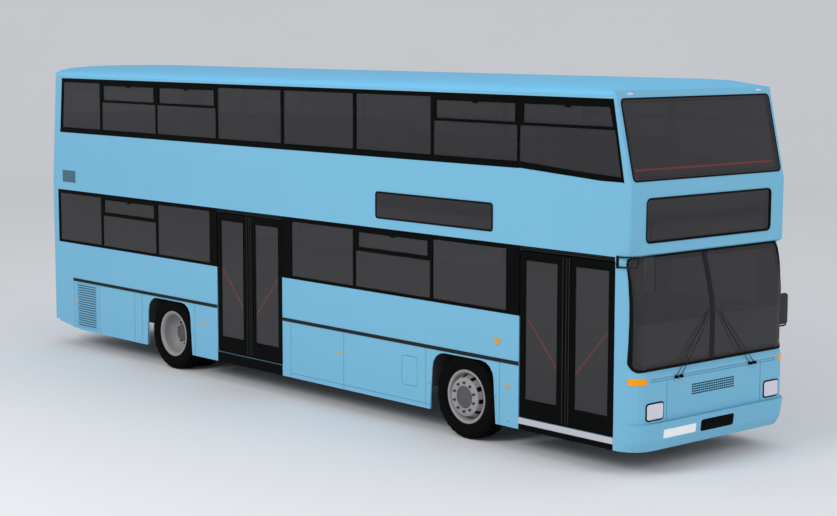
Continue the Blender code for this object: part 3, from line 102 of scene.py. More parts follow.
# the grain is given in cells a metre, broad then fine: 90 is an orange peel of about 11 mm
def finish(name, colour, second, rough, grain, bump=0.1, depth=0.002, stretch=(1, 1, 1), gleam=0.5, **extra):
    made = bpy.data.materials.new(name)
    made.use_nodes = True
    tree = made.node_tree
    tree.nodes.clear()
    broad = noise(tree, grain[0], 3.0, stretch)
    fine = noise(tree, grain[1], 2.0, stretch)
    tone = blendColours(tree, spread(tree, broad, 0.0, 1.0), linear(colour), linear(second))
    relief = addNode(tree, "ShaderNodeBump", {"Height": fine, "Strength": bump, "Distance": depth})
    links = {"Base Color": tone, "Roughness": spread(tree, fine, *rough), "Normal": relief.outputs[0],
             "Specular IOR Level": gleam, **extra}
    surface = addNode(tree, "ShaderNodeBsdfPrincipled", links)
    out = addNode(tree, "ShaderNodeOutputMaterial", {"Surface": surface.outputs[0]})
    made.diffuse_color = linear(colour)
    return made, tree, surface, out


def plain(*given, **extra):
    return finish(*given, **extra)[0]


# satin coach enamel: faint orange peel and slow drift of tone along the panels
busBlue = plain("coachEnamel", 0x79b8d7, 0x7ebddb, (0.34, 0.44), (0.7, 90), 0.04, 0.001, gleam=0.05)
# the roof: a copy of the coach enamel a touch deeper in colour, painted light so that the top shows the bluer
# tone it takes under the sky
roofPaintedSkyTone = plain("roofEnamel", 0x77c3ec, 0x7bc7ef, (0.45, 0.55), (0.7, 90), 0.04, 0.001, gleam=0.03)
# painted shade: the same enamel made darker for the panel joints and the outlines and plates round the vents
# and lids, where shade falls in the gaps
seamShadeBlue = plain("jointShadow", 0x54849d, 0x467088, (0.5, 0.7), (3, 60))
# shaded slats of the air grilles
louvreBlue = plain("louvreShadow", 0x3a5c6e, 0x325262, (0.5, 0.7), (3, 60))
# satin black sheet and rubber edging: fine matt grain
trimBlack = plain("blackTrim", 0x080909, 0x0c0d0d, (0.38, 0.52), (4, 140), 0.12, 0.0008, gleam=0.02)
# glazing rubber: soft and dull
rubberBlack = plain("glazingRubber", 0x0e0f0f, 0x141515, (0.55, 0.7), (8, 200), 0.2, 0.0006, gleam=0.05)
# worn rubber lips of the doors, a little paler than the frames
sealGrey = plain("doorSeal", 0x2c2e2e, 0x242626, (0.6, 0.75), (30, 200), 0.2, 0.0006, gleam=0.1)
# side trim strips, wiper arms and the screen's centre bar: soft dark grey
shellGrey = plain("mirrorShell", 0x242527, 0x1f2022, (0.5, 0.65), (12, 200), 0.15, 0.0006, gleam=0.1)
# moulded mirror heads, greyer than their arms
mirrorGrey = plain("mirrorHead", 0x3c3d3e, 0x363738, (0.5, 0.65), (12, 200), 0.15, 0.0006, gleam=0.1)
# painted steel below the floor, browner where dirt clings
darkSteel = plain("chassisSteel", 0x262729, 0x343230, (0.5, 0.75), (5, 70), 0.3, 0.001, Metallic=0.5)
# speckled vinyl floor, dull underfoot
floorVinyl = plain("floorVinyl", 0x424446, 0x525454, (0.6, 0.8), (160, 400), 0.25, 0.0006)
# moulded plastic with a leather grain, for the seat shells and the cab
greyPlastic = plain("mouldedPlastic", 0x484a4d, 0x545658, (0.5, 0.65), (20, 300), 0.3, 0.0005)
# painted cast wheel: silver grey with brown dust low in the castings
rimGrey = plain("wheelSilver", 0xa6a6aa, 0x888380, (0.4, 0.6), (6, 90), 0.15, 0.001, Metallic=0.1)
# bare cast hub: darker than the wheel and a little rough
hubGrey = plain("hubCast", 0x605d60, 0x504c4e, (0.45, 0.6), (12, 120), 0.3, 0.001, Metallic=0.3)
# tyre rubber: nearly black, brown where the road has marked it
tyreRubber = plain("tyreRubber", 0x090909, 0x100f0e, (0.65, 0.85), (12, 160), 0.3, 0.001, gleam=0.03)
# ribbed clear lens over a silver bowl, seen as pale grey; on the mirror faces the same pale grey is a painted
# reflection
paleLensAndPaintedReflection = plain("lampLens", 0xe2dfe8, 0xd0cdd8, (0.12, 0.2), (30, 60), 0.4, 0.002, **{"Coat Weight": 0.6})
# amber acrylic of the indicators: deep and glossy
lensOrange = plain("amberLens", 0xffaa06, 0xff9e04, (0.2, 0.3), (30, 90), 0.3, 0.001, gleam=0.2)
# small prism reflectors, yellower than the indicators
reflectorAmber = plain("amberReflector", 0xd9a642, 0xcd9634, (0.2, 0.3), (60, 160), 0.4, 0.001)
# red acrylic of the tail lamps
lensRed = plain("redLens", 0xb21816, 0x961212, (0.18, 0.26), (30, 90), 0.3, 0.001, **{"Coat Weight": 0.4})
# enamelled grab rails with a painted glow, though they are no lamps, so that their red carries through the
# tinted glass
railPaintedGlow = {"Emission Color": linear(0xcb0007), "Emission Strength": 2.1}
railRedAndPaintedGlow = plain("railEnamel", 0xe12a2c, 0xcd2226, (0.3, 0.4), (10, 80), 0.05, **railPaintedGlow)
# dark glass with a blind behind it, for the signs
signGlass = plain("blankSign", 0x312f32, 0x2c2b2e, (0.05, 0.09), (0.6, 4), 0.01, gleam=0.2)
# anodised aluminium sill: pale, brushed along its length
sillSilver = plain("anodisedSill", 0xcfcdd4, 0xbebcc4, (0.3, 0.42), (4, 120), 0.1, 0.0006, (1, 0.1, 1),
                   Metallic=0.2)
# blank reflective number plate
plateWhite = plain("plateWhite", 0xfffffe, 0xf8f8f6, (0.35, 0.45), (6, 120), 0.1, 0.0004)
# woven seat cloth: blue and dark red flecks under a soft nap
seatCloth = plain("seatMoquette", 0x3a4a62, 0x5c3a3e, (0.8, 0.95), (45, 700), 0.5, 0.0012,
                  **{"Sheen Weight": 0.4})

# tinted glazing: dark and even, a little of the saloon showing through, sharp reflections
tint = {"clear": 0xeaebef, "dark": 0.66}
glass, tree, surface, out = finish("tintedGlass", 0x313032, 0x353336, (0.03, 0.06), (0.5, 3), 0.01)
clear = addNode(tree, "ShaderNodeBsdfTransparent", {"Color": linear(tint["clear"])})
through = addNode(tree, "ShaderNodeMixShader", {0: tint["dark"], 1: clear.outputs[0], 2: surface.outputs[0]})
tree.links.new(through.outputs[0], out.inputs["Surface"])

slotFinish = {
    "bus_blue": busBlue, "black_trim": trimBlack, "tinted_glass": glass, "dark_steel": darkSteel,
    "floor_covering": floorVinyl, "seat_cloth": seatCloth, "grey_plastic": greyPlastic,
    "rim_grey": rimGrey, "tyre_rubber": tyreRubber,
}
for name, thing in nodes.items():
    for slot in thing.material_slots:
        base = (slot.material.name if slot.material else "bus_blue").split(".")[0]
        slot.material = slotFinish.get(base, busBlue)
# the roof takes the enamel copy with its painted light
for slot in nodes["roof"].material_slots:
    slot.material = roofPaintedSkyTone
print("materials on the frame")


# a skin is a function from two measures on it to a place and an outward normal
def rayOnto(names, start, way):
    aside, nearer, missed = 0.003, 0.004, 5.45  # rays beside the first, what counts as nearer, where none meets

    def hit(u, v):
        best = None
        for du, dv in ((0, 0), (aside, 0), (-aside, 0), (0, aside), (0, -aside)):
            for name in names:
                source = Vector((u + du, start, v + dv))
                found, where, normal, _ = nodes[name].ray_cast(source, Vector((0, way, 0)))
                if found and (best is None or (where.y - best[0].y) * way < -nearer):
                    best = (Vector((u, where.y, v)), normal)
        if best is None:
            return Vector((u, -way * missed, v)), Vector((0, -way, 0))
        return best[0], (best[1] + Vector((0, -way, 0))).normalized()
    return hit


def onPlane(x):
    return lambda u, v: (Vector((x, u - middle, v)), Vector((math.copysign(1, x), 0, 0)))


corner = {"nose": 0.2, "noseX": 1.05, "noseStation": 0.25, "tail": 0.12, "tailX": 1.13, "tailStation": 11.28}


def roundTail(side):
    # u runs along the skin from where the flat side ends
    radius = corner["tail"]

    def hit(u, v):
        turn = min(max(u / radius, 0.0), math.pi / 2)
        out = Vector((side * math.cos(turn), math.sin(turn), 0))
        centre = Vector((side * corner["tailX"], corner["tailStation"] - middle + min(u, 0.0), v))
        return centre + out * radius, out
    return hit


def roundNose(side):
    # u runs along the skin from where the flat front ends
    radius = corner["nose"]

    def hit(u, v):
        out = Vector((side * math.sin(u / radius), -math.cos(u / radius), 0))
        centre = Vector((side * corner["noseX"], corner["noseStation"] - middle, v))
        return centre + out * radius, out
    return hit


def facing(s):
    return lambda u, v: (Vector((u, s - middle, v)), Vector((0, -1, 0)))


def behind(s):
    return lambda u, v: (Vector((u, s - middle, v)), Vector((0, 1, 0)))


front = rayOnto(("front_end", "front_bumper", "windscreen", "upper_windscreen"), -6.2, 1)
back = rayOnto(("rear_end", "engine_hatch", "rear_window_upper"), 6.2, -1)
near = onPlane(-half)
far = onPlane(half)
nearDoor = onPlane(-1.2465)


def keep(name, bm, material, body="bus", angle=35):
    bmesh.ops.remove_doubles(bm, verts=bm.verts, dist=0.00002)
    bmesh.ops.recalc_face_normals(bm, faces=bm.faces)
    mesh = bpy.data.meshes.new(name)
    bm.to_mesh(mesh)
    bm.free()
    mesh.shade_smooth()
    mesh.set_sharp_from_angle(angle=math.radians(angle))
    mesh.materials.append(material)
    made = bpy.data.objects.new(name, mesh)
    bpy.context.collection.objects.link(made)
    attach(made, body)
    return made


def grid(bm, rows, closed=False):
    points = [[bm.verts.new(p) for p in row] for row in rows]
    pairs = list(zip(points, points[1:]))
    if closed:
        pairs.append((points[-1], points[0]))
    for one, two in pairs:
        for i in range(len(one) - 1):
            bm.faces.new((one[i], one[i + 1], two[i + 1], two[i]))
    return points


# pads and strips lie on a skin, raised by proud, with their rims sunk below it so that no gap shows
padShape = {"rounding": (0, 0.08, 0.3, 1), "step": 0.06, "edge": 0.012, "sunk": -0.4, "shoulder": 0.9}
stripShape = ((-0.5, -0.5), (-0.42, 1), (-0.21, 1), (0, 1), (0.21, 1), (0.42, 1), (0.5, -0.5))
stripStep = 0.08


def addPad(bm, hit, u0, u1, v0, v1, radius, proud):
    steps = [share * radius for share in padShape["rounding"]]
    flat = u1 - u0 - 2 * radius
    inner = max(1, int(flat / padShape["step"]))
    ups = [u0 + d for d in steps] + [u0 + radius + flat * i / inner for i in range(1, inner)]
    ups += [u1 - d for d in reversed(steps)]
    edge = min(padShape["edge"], radius * 0.4, (v1 - v0) * 0.2)
    sunk, shoulder = padShape["sunk"], padShape["shoulder"]
    rows = []
    for u in ups:
        d = min(u - u0, u1 - u)
        inset = radius - math.sqrt(max(0.0, radius ** 2 - (radius - d) ** 2)) if d < radius else 0.0
        low, high = v0 + inset, v1 - inset
        lift = proud * min(1.0, d / edge) if edge else proud
        row = []
        for v, share in ((low, sunk), (low + edge, shoulder), ((low + high) / 2, 1.0),
                         (high - edge, shoulder), (high, sunk)):
            where, normal = hit(u, v)
            row.append(where + normal * (lift * share if d > 0 else sunk * proud))
        rows.append(row)
    grid(bm, rows)


def pads(name, boxes, hit, material, radius=0.02, proud=0.008, body="bus"):
    bm = bmesh.new()
    for box in boxes:
        addPad(bm, hit, *box, radius, proud)
    return keep(name, bm, material, body)


def strips(name, paths, hit, material, width=0.006, proud=0.0012, closed=False, body="bus"):
    bm = bmesh.new()
    for path in paths:
        points = [Vector(p) for p in path] + ([Vector(path[0])] if closed else [])
        fine = []
        for a, b in zip(points, points[1:]):
            count = max(1, math.ceil((b - a).length / stripStep))
            fine += [a + (b - a) * i / count for i in range(count)]
        if not closed:
            fine.append(points[-1])
        rows = []
        for i, p in enumerate(fine):
            after = fine[(i + 1) % len(fine)] if closed or i + 1 < len(fine) else p
            before = fine[i - 1] if closed or i else p
            way = (after - before).normalized()
            across = Vector((-way.y, way.x))
            row = []
            for offset, lift in stripShape:
                q = p + across * (offset * width)
                where, normal = hit(q.x, q.y)
                row.append(where + normal * (lift * proud))
            rows.append(row)
        grid(bm, rows, closed)
    return keep(name, bm, material, body)


def roundedLoop(u0, u1, v0, v1, radius, steps=6):
    loop = []
    for cu, cv, start in ((u1 - radius, v1 - radius, 0), (u0 + radius, v1 - radius, 90),
                          (u0 + radius, v0 + radius, 180), (u1 - radius, v0 + radius, 270)):
        for i in range(steps + 1):
            turn = math.radians(start + 90 * i / steps)
            loop.append((cu + radius * math.cos(turn), cv + radius * math.sin(turn)))
    return loop


def ring(name, loop, hit, material, width, proud):
    return strips(name, [roundedLoop(*loop)], hit, material, width, proud, True)


def tubes(name, paths, radius, material, body="bus", sides=10):
    bm = bmesh.new()
    for path in paths:
        points = [Vector(p) for p in path]
        rows = []
        for i, p in enumerate(points):
            way = (points[min(i + 1, len(points) - 1)] - points[max(i - 1, 0)]).normalized()
            side = way.cross(Vector((0.31, 0.2, 0.93))).normalized()  # no tube runs that way
            up = way.cross(side)
            row = []
            for k in range(sides + 1):
                turn = 2 * math.pi * k / sides
                row.append(p + (side * math.cos(turn) + up * math.sin(turn)) * radius)
            rows.append(row)
        made = grid(bm, rows)
        for end in (made[0], made[-1]):
            bm.faces.new(end[:-1])
    return keep(name, bm, material, body)


def lathe(name, profile, hub, material, body, segments=80, notches=(), holes=None):
    # a profile of (distance out from the hub, radius) turned round the wheel's axle; at notches the tread
    # is cut on every third step; holes gives the front and back edge, the steps a hole and its width
    side, x, y, z = hub
    bm = bmesh.new()
    rows = []
    for i in range(segments):
        turn = 2 * math.pi * i / segments
        row = []
        for k, (out, r) in enumerate(profile):
            if k in notches and i % 3 == 0:
                r -= wheel["treadDepth"]
            row.append(bm.verts.new((side * (x + out), y + r * math.cos(turn), z + r * math.sin(turn))))
        rows.append(row)
    for i in range(segments):
        one, two = rows[i], rows[(i + 1) % segments]
        for k in range(len(profile) - 1):
            if not (holes and k in holes[:2] and i % holes[2] < holes[3]):
                bm.faces.new((one[k], one[k + 1], two[k + 1], two[k]))
        if holes and i % holes[2] < holes[3]:
            f, b = holes[0], holes[1]
            bm.faces.new((one[f], two[f], two[b + 1], one[b + 1]))
            bm.faces.new((one[f + 1], two[f + 1], two[b], one[b]))
            for row, edge in ((one, 0), (two, holes[3] - 1)):
                if i % holes[2] == edge:
                    bm.faces.new((row[f], row[f + 1], row[b], row[b + 1]))
    return keep(name, bm, material, body, wheel["sharp"])


# wheels: tyres with a cut tread, cast rims with round the front ones a row of holes, hubs and nuts
wheel = {
    "radius": 0.4785, "front": 1.075, "rearOuter": 1.07, "rearInner": 0.76, "treadDepth": 0.006, "sharp": 30,
    "tyreSteps": 96, "hubSteps": 64, "nuts": 10, "nut": 0.017, "stud": 0.0075,
    "frontNuts": (0.142, 0.163), "rearNuts": (-0.078, 0.152),  # out from the hub, radius of the ring
}
flank = [(0.09, 0.287), (0.1045, 0.288), (0.109, 0.308), (0.124, 0.336), (0.1355, 0.372), (0.1375, 0.4),
         (0.1345, 0.434), (0.128, 0.454), (0.118, 0.467), (0.103, 0.4755), (0.09, 0.478), (0.088, 0.468),
         (0.078, 0.468), (0.076, 0.4785), (0.05, 0.4785), (0.048, 0.468), (0.038, 0.468), (0.036, 0.4785)]
tyreProfile = flank + [(-d, r) for d, r in reversed(flank)]
shoulders = [7, 8, 9] + [len(tyreProfile) - k for k in (8, 9, 10)]
lip = [(0.117, 0.3), (0.113, 0.3055), (0.106, 0.303), (0.104, 0.288), (0.09, 0.286), (0.07, 0.266)]
barrel = lip + [(-d, r) for d, r in reversed(lip)] + [(-0.115, 0.276), (-0.08, 0.256)]
dish = [(0.085, 0.258), (0.11, 0.276), (0.117, 0.3)]
holeFront, holeBack = (0.134, 0.217), (0.036, 0.246)
frontRim = barrel + [(0.0, 0.256), (0.02, 0.252), holeBack, (0.118, 0.214), (0.126, 0.2), (0.126, 0.126),
                     (0.142, 0.126), (0.142, 0.2), holeFront, (0.052, 0.25)] + dish
rearRim = barrel + [(-0.03, 0.25), (-0.09, 0.2), (-0.09, 0.11), (-0.078, 0.11), (-0.078, 0.2),
                    (-0.03, 0.238), (0.0, 0.25)] + dish
innerRim = barrel + [(-0.1, 0.25), (-0.155, 0.2), (-0.155, 0.11), (-0.143, 0.11), (-0.143, 0.2),
                     (-0.1, 0.238), (-0.07, 0.25)] + dish
innerRim = [(-d, r) for d, r in innerRim]
frontHub = [(0.08, 0.124), (0.139, 0.124), (0.144, 0.118), (0.144, 0.05), (0.147, 0.045), (0.147, 0.0)]
rearHub = [(-0.16, 0.112), (-0.03, 0.11), (-0.02, 0.1), (-0.02, 0.04), (-0.017, 0.035), (-0.017, 0.0)]


def addTyre(name, hub, body, node):
    made = lathe(name, tyreProfile, hub, tyreRubber, body, wheel["tyreSteps"], shoulders)
    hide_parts(node)


def addHub(name, profile, hub, body, nuts):
    lathe(name + "Hub", profile, hub, hubGrey, body, wheel["hubSteps"])
    side, x, y, z = hub
    out, radius = nuts
    nutRods, studRods = [], []
    for i in range(wheel["nuts"]):
        turn = 2 * math.pi * (i + 0.5) / wheel["nuts"]
        across, up = y + radius * math.cos(turn), z + radius * math.sin(turn)
        nutRods.append([(side * (x + d), across, up) for d in (out - 0.004, out + 0.013, out + 0.014)])
        face = side * (x + out + 0.013)
        studRods.append([(face + side * d, across, up) for d in (0.001, 0.012, 0.013)])
    tubes(name + "Nuts", nutRods, wheel["nut"], hubGrey, body, sides=6)
    tubes(name + "NutsStuds", studRods, wheel["stud"], trimBlack, body, 8)


for label, side in sides:
    body = label + "_front_wheel"
    hub = (side, wheel["front"], frontAxle - middle, wheel["radius"])
    addTyre(label + "FrontTyre", hub, body, label + "_front_tyre")
    holes = (frontRim.index(holeFront), frontRim.index(holeBack), 8, 3)
    rim = lathe(label + "FrontRim", frontRim, hub, rimGrey, body, holes=holes)
    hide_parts(label + "_front_rim")
    addHub(label + "Front", frontHub, hub, body, wheel["frontNuts"])
    body = label + "_rear_wheels"
    hub = (side, wheel["rearOuter"], rearAxle - middle, wheel["radius"])
    inner = (side, wheel["rearInner"], rearAxle - middle, wheel["radius"])
    addTyre(label + "RearOuterTyre", hub, body, label + "_rear_outer_tyre")
    addTyre(label + "RearInnerTyre", inner, body, label + "_rear_inner_tyre")
    rim = lathe(label + "RearOuterRim", rearRim, hub, rimGrey, body)
    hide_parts(label + "_rear_rims")
    lathe(label + "RearInnerRim", innerRim, inner, rimGrey, body)
    addHub(label + "Rear", rearHub, hub, body, wheel["rearNuts"])
print("wheels")

# screens and the sign between them: left, right, low, high and corner radius
screen = {
    "edge": (-1.195, 1.195, 1.125, 2.225, 0.09), "rubber": (-1.215, 1.215, 1.104, 2.25, 0.075),
    "upperEdge": (-1.165, 1.165, 3.05, 3.842, 0.05), "upperRubber": (-1.188, 1.188, 3.034, 3.856, 0.045),
    "sign": (-1.0, 1.0, 2.405, 2.846, 0.05), "divider": (1.12, 2.235),
}
ring("windscreenEdge", screen["edge"], front, signGlass, 0.066, 0.004)
ring("windscreenRubber", screen["rubber"], front, rubberBlack, 0.032, 0.008)
ring("upperScreenEdge", screen["upperEdge"], front, signGlass, 0.05, 0.004)
ring("upperScreenRubber", screen["upperRubber"], front, rubberBlack, 0.018, 0.007)
strips("screenDivider", [[(0, z) for z in screen["divider"]]], front, shellGrey, 0.078, 0.006)
pads("destinationGlass", [screen["sign"][:4]], front, signGlass, 0.05, 0.006)
ring("destinationRubber", screen["sign"], front, rubberBlack, 0.026, 0.009)

# nose: lamps, joints, a blank plate, and black pads of painted shade for the grille's holes and the towing slot
nose = {
    "bezelLeft": (-1.089, 0.816), "bezel": (0.283, 0.574, 0.776),  # width, low and high
    "lensLeft": (-1.077, 0.828), "lens": (0.259, 0.586, 0.764),
    "marker": 1.036, "markerHalf": 0.045, "markerHeight": (3.893, 3.919),
    "indicator": (0.026, 0.238, 0.958, 1.035),
    "joint": 1.02, "jointHeights": (1.008, 0.984), "lid": 0.765, "lidHeights": (0.56, 0.98),
    "grille": (-0.368, 0.776), "pitch": (0.0347, 0.0245), "hole": (0.028, 0.017), "holes": (20, 5),
    "slot": (-0.26, 0.283, 0.37, 0.505), "plate": (-0.849, -0.338, 0.383, 0.479),
}
wide, low, high = nose["bezel"]
pads("headlampBezels", [(a, a + wide, low, high) for a in nose["bezelLeft"]], front, trimBlack, 0.04, 0.006)
wide, low, high = nose["lens"]
pads("headlampLenses", [(a, a + wide, low, high) for a in nose["lensLeft"]], front, paleLensAndPaintedReflection, 0.032, 0.011)
markers = [(x - nose["markerHalf"], x + nose["markerHalf"], *nose["markerHeight"])
           for x in (-nose["marker"], nose["marker"])]
pads("markerLamps", markers, front, paleLensAndPaintedReflection, 0.011, 0.006)
for label, side in sides:
    pads(label + "Indicator", [nose["indicator"]], roundNose(side), lensOrange, 0.016, 0.007)
joints = [[(-nose["joint"], z), (nose["joint"], z)] for z in nose["jointHeights"]]
joints += [[(x, z) for z in nose["lidHeights"]] for x in (-nose["lid"], nose["lid"])]
# the nose's joints are strips of painted shade
strips("frontJoints", joints, front, seamShadeBlue, 0.008)
grille = []
for i in range(nose["holes"][0]):
    for j in range(nose["holes"][1]):
        x, z = nose["grille"][0] + nose["pitch"][0] * i, nose["grille"][1] + nose["pitch"][1] * j
        grille.append((x, x + nose["hole"][0], z, z + nose["hole"][1]))
# the grille's holes and the towing slot are black pads on the skin: painted shade where the openings are
pads("frontGrille", grille, front, trimBlack, 0.005, 0.002)
pads("towingSlotShade", [nose["slot"]], front, trimBlack, 0.03, 0.004)
pads("blankPlate", [nose["plate"]], front, plateWhite, 0.01, 0.005)

# two thin arms to each wiper, straight from the scuttle to the middle of the glass and clear of it
wiper = {
    "arms": [((-0.635, 1.0), (-0.081, 1.625)), ((-0.56, 1.0), (-0.065, 1.57)),
             ((0.643, 1.0), (0.119, 1.605)), ((0.57, 1.0), (0.121, 1.54))],
    "standOff": 0.014, "clear": 0.008, "arm": 0.0036, "pivot": 0.017, "pivotStations": (0.055, 0.03, 0.016),
}
paths = []
for a, b in wiper["arms"]:
    foot, tip = (front(*end)[0] - Vector((0, wiper["standOff"], 0)) for end in (a, b))
    path = [foot + (tip - foot) * i / 8 for i in range(9)]
    for point in path:
        point.y = min(point.y, front(point.x, point.z)[0].y - wiper["clear"])
    paths.append(path)
tubes("wiperArms", paths, wiper["arm"], shellGrey)
pivots = [[(a[0], s - middle, a[1]) for s in wiper["pivotStations"]] for a, _ in wiper["arms"]]
tubes("wiperPivots", pivots, wiper["pivot"], trimBlack)
upperRail = {"start": -1.16, "step": 0.1, "points": 24, "y": -5.29, "z": 3.135}
rail = [(upperRail["start"] + upperRail["step"] * i, upperRail["y"], upperRail["z"])
        for i in range(upperRail["points"])]
tubes("upperRail", [rail], 0.0105, railRedAndPaintedGlow)
print("front")

# sides: trim strip, panel joints, louvres, repeater and reflectors, the same on both but for the doors
skirt = {
    "trim": {"nearside": [(10.81, 7.27), (5.886, 1.723)], "offside": [(10.81, 0.42)]}, "trimHeight": 0.98,
    "seams": [10.8, 10.13, 9.22, 9.04, 7.786, 5.72, 4.69, 3.218, 2.016], "seamHeights": (0.27, 0.962),
    "arch": 0.55, "lowSeam": [(5.72, 0.32), (3.15, 0.32)],
    "reflectors": (10.754, 7.584, 4.77, 1.896), "repeater": (2.008, 2.098, 1.145, 1.225),
    "screws": ((8.919, 0.562), (9.113, 0.296), (7.823, 0.56), (3.154, 0.565), (2.074, 0.569), (1.876, 0.325)),
}
vents = {
    "louvre": (10.222, 10.692, 0.332), "louvreSlats": (18, 0.0335, 0.017),  # count, pitch and height
    "louvreFrame": (10.195, 10.72, 0.31, 0.94, 0.01), "plate": (10.705, 11.054, 2.375, 2.548),
    "upper": (10.71, 11.05, 2.384), "upperSlats": (7, 0.0235, 0.012),
}
cornerLid = (-0.06, 0.139, 1.14, 1.355, 0.03)


def slats(start, end, low, count, pitch, height):
    return [(start, end, low + pitch * i, low + pitch * i + height) for i in range(count)]


for label, hit in (("nearside", near), ("offside", far)):
    runs = [[(a, skirt["trimHeight"]), (b, skirt["trimHeight"])] for a, b in skirt["trim"][label]]
    strips(label + "TrimStrip", runs, hit, shellGrey, 0.046, 0.008)
    # the joints, the louvre frame, the vent plate and the lid outline are strips and plates of painted shade
    joints = [[(s, z) for z in skirt["seamHeights"]] for s in skirt["seams"]
              if abs(s - frontAxle) > skirt["arch"] and abs(s - rearAxle) > skirt["arch"]]
    strips(label + "Joints", joints + [skirt["lowSeam"]], hit, seamShadeBlue)
    reflectors = [(s - 0.04, s + 0.04, 0.686, 0.722) for s in skirt["reflectors"]]
    pads(label + "Reflectors", reflectors, hit, reflectorAmber, 0.006, 0.004)
    pads(label + "Repeater", [skirt["repeater"]], hit, reflectorAmber, 0.012, 0.008)
    pads(label + "Louvre", slats(*vents["louvre"], *vents["louvreSlats"]), hit, louvreBlue, 0.006, 0.006)
    ring(label + "LouvreFrame", vents["louvreFrame"], hit, seamShadeBlue, 0.005, 0.0012)
    pads(label + "UpperVentPlate", [vents["plate"]], hit, seamShadeBlue, 0.004, 0.002)
    pads(label + "UpperVent", slats(*vents["upper"], *vents["upperSlats"]), hit, louvreBlue, 0.004, 0.005)
    screws = [(s - 0.008, s + 0.008, z - 0.008, z + 0.008) for s, z in skirt["screws"]]
    pads(label + "SkirtScrews", screws, hit, louvreBlue, 0.006, 0.003)
    # both outlines lie on the offside corner
    ring(label + "CornerLid", cornerLid, roundTail(1), seamShadeBlue, 0.006, 0.0012)

# tail: a cluster of three lamps on each side and a blank plate on the hatch
tail = {
    "cluster": 1.045, "lampHalf": 0.055, "rim": 0.012, "surround": (0.668, 1.152), "lamp": 0.144,
    "red": (0.68, 0.996), "amber": 0.838, "plate": (-0.26, 0.26, 0.52, 0.63),
}
clusters = [(x - tail["lampHalf"], x + tail["lampHalf"]) for x in (-tail["cluster"], tail["cluster"])]
surrounds = [(a - tail["rim"], b + tail["rim"], *tail["surround"]) for a, b in clusters]
pads("tailLampSurrounds", surrounds, back, trimBlack, 0.02, 0.002)
redLamps = [(a, b, z, z + tail["lamp"]) for a, b in clusters for z in tail["red"]]
pads("tailLamps", redLamps, back, lensRed, 0.016, 0.006)
amberLamps = [(a, b, tail["amber"], tail["amber"] + tail["lamp"]) for a, b in clusters]
pads("tailIndicators", amberLamps, back, lensOrange, 0.016, 0.006)
pads("rearPlate", [tail["plate"]], back, plateWhite, 0.01, 0.004, "engine_hatch_body")
print("tail")


def slabs(name, outlines, side, material, inner=1.2385, outer=1.2525):
    bm = bmesh.new()
    for outline in outlines:
        faces = [[bm.verts.new((side * x, s - middle, z)) for s, z in outline] for x in (outer, inner)]
        for face in faces:
            bm.faces.new(face)
        for i in range(len(outline)):
            j = (i + 1) % len(outline)
            bm.faces.new((faces[0][i], faces[0][j], faces[1][j], faces[1][i]))
    return keep(name, bm, material, "bus")


def block(a, b, low, high):
    return [(a, low), (b, low), (b, high), (a, high)]


def hopper(a, b, low, high, head, bar):
    mid = (a + b) / 2
    return [block(a - 0.02, b + 0.02, high, head), block(a - 0.02, b + 0.02, low - bar, low),
            block(a - 0.018, a, low, high), block(b, b + 0.03, low, high),
            block(mid - 0.035, mid + 0.035, high - 0.018, high)]


# black frames on the window bands: a deeper border, and round each opening hopper a frame with a small catch
hoppers = {
    "upper": [(1.805, 3.067), (7.296, 8.566), (8.68, 9.946)], "upperHeights": (3.577, 3.775, 3.845, 0.031),
    "nearside": [(3.194, 4.426), (8.712, 9.968)], "offside": [(5.924, 7.196), (8.712, 9.968)],
    "lowerHeights": (2.004, 2.186, 2.22, 0.04),  # low, high, the frame's top and the bar below
}
borders = [
    # the raked front hopper: head, bar, rear and front posts, catch
    block(0.4, 1.71, 3.775, 3.845), block(0.36, 1.73, 3.546, 3.577), block(1.69, 1.73, 3.577, 3.775),
    [(0.352, 3.577), (0.404, 3.577), (0.446, 3.775), (0.39, 3.775)], block(1.005, 1.075, 3.757, 3.775),
    # the band's upper border between hoppers, then its lower one with the step down at the front
    block(3.1, 7.28, 3.811, 3.845), block(9.98, 11.02, 3.805, 3.845), block(1.745, 11.092, 3.088, 3.135),
    [(0.243, 3.024), (0.552, 3.024), (1.745, 3.093), (1.745, 3.146), (0.258, 3.07)],
]
sideSign = (2.145, 4.088, 2.384, 2.68, 0.03)
for label, side in sides:
    frames = [f for a, b in hoppers["upper"] for f in hopper(a, b, *hoppers["upperHeights"])]
    frames += [f for a, b in hoppers[label] for f in hopper(a, b, *hoppers["lowerHeights"])]
    slabs(label + "WindowFrames", frames + borders, side, trimBlack)
pads("sideSignGlass", [sideSign[:4]], near, signGlass, 0.03, 0.004)
ring("sideSignRubber", sideSign, near, rubberBlack, 0.022, 0.007)
print("sides")

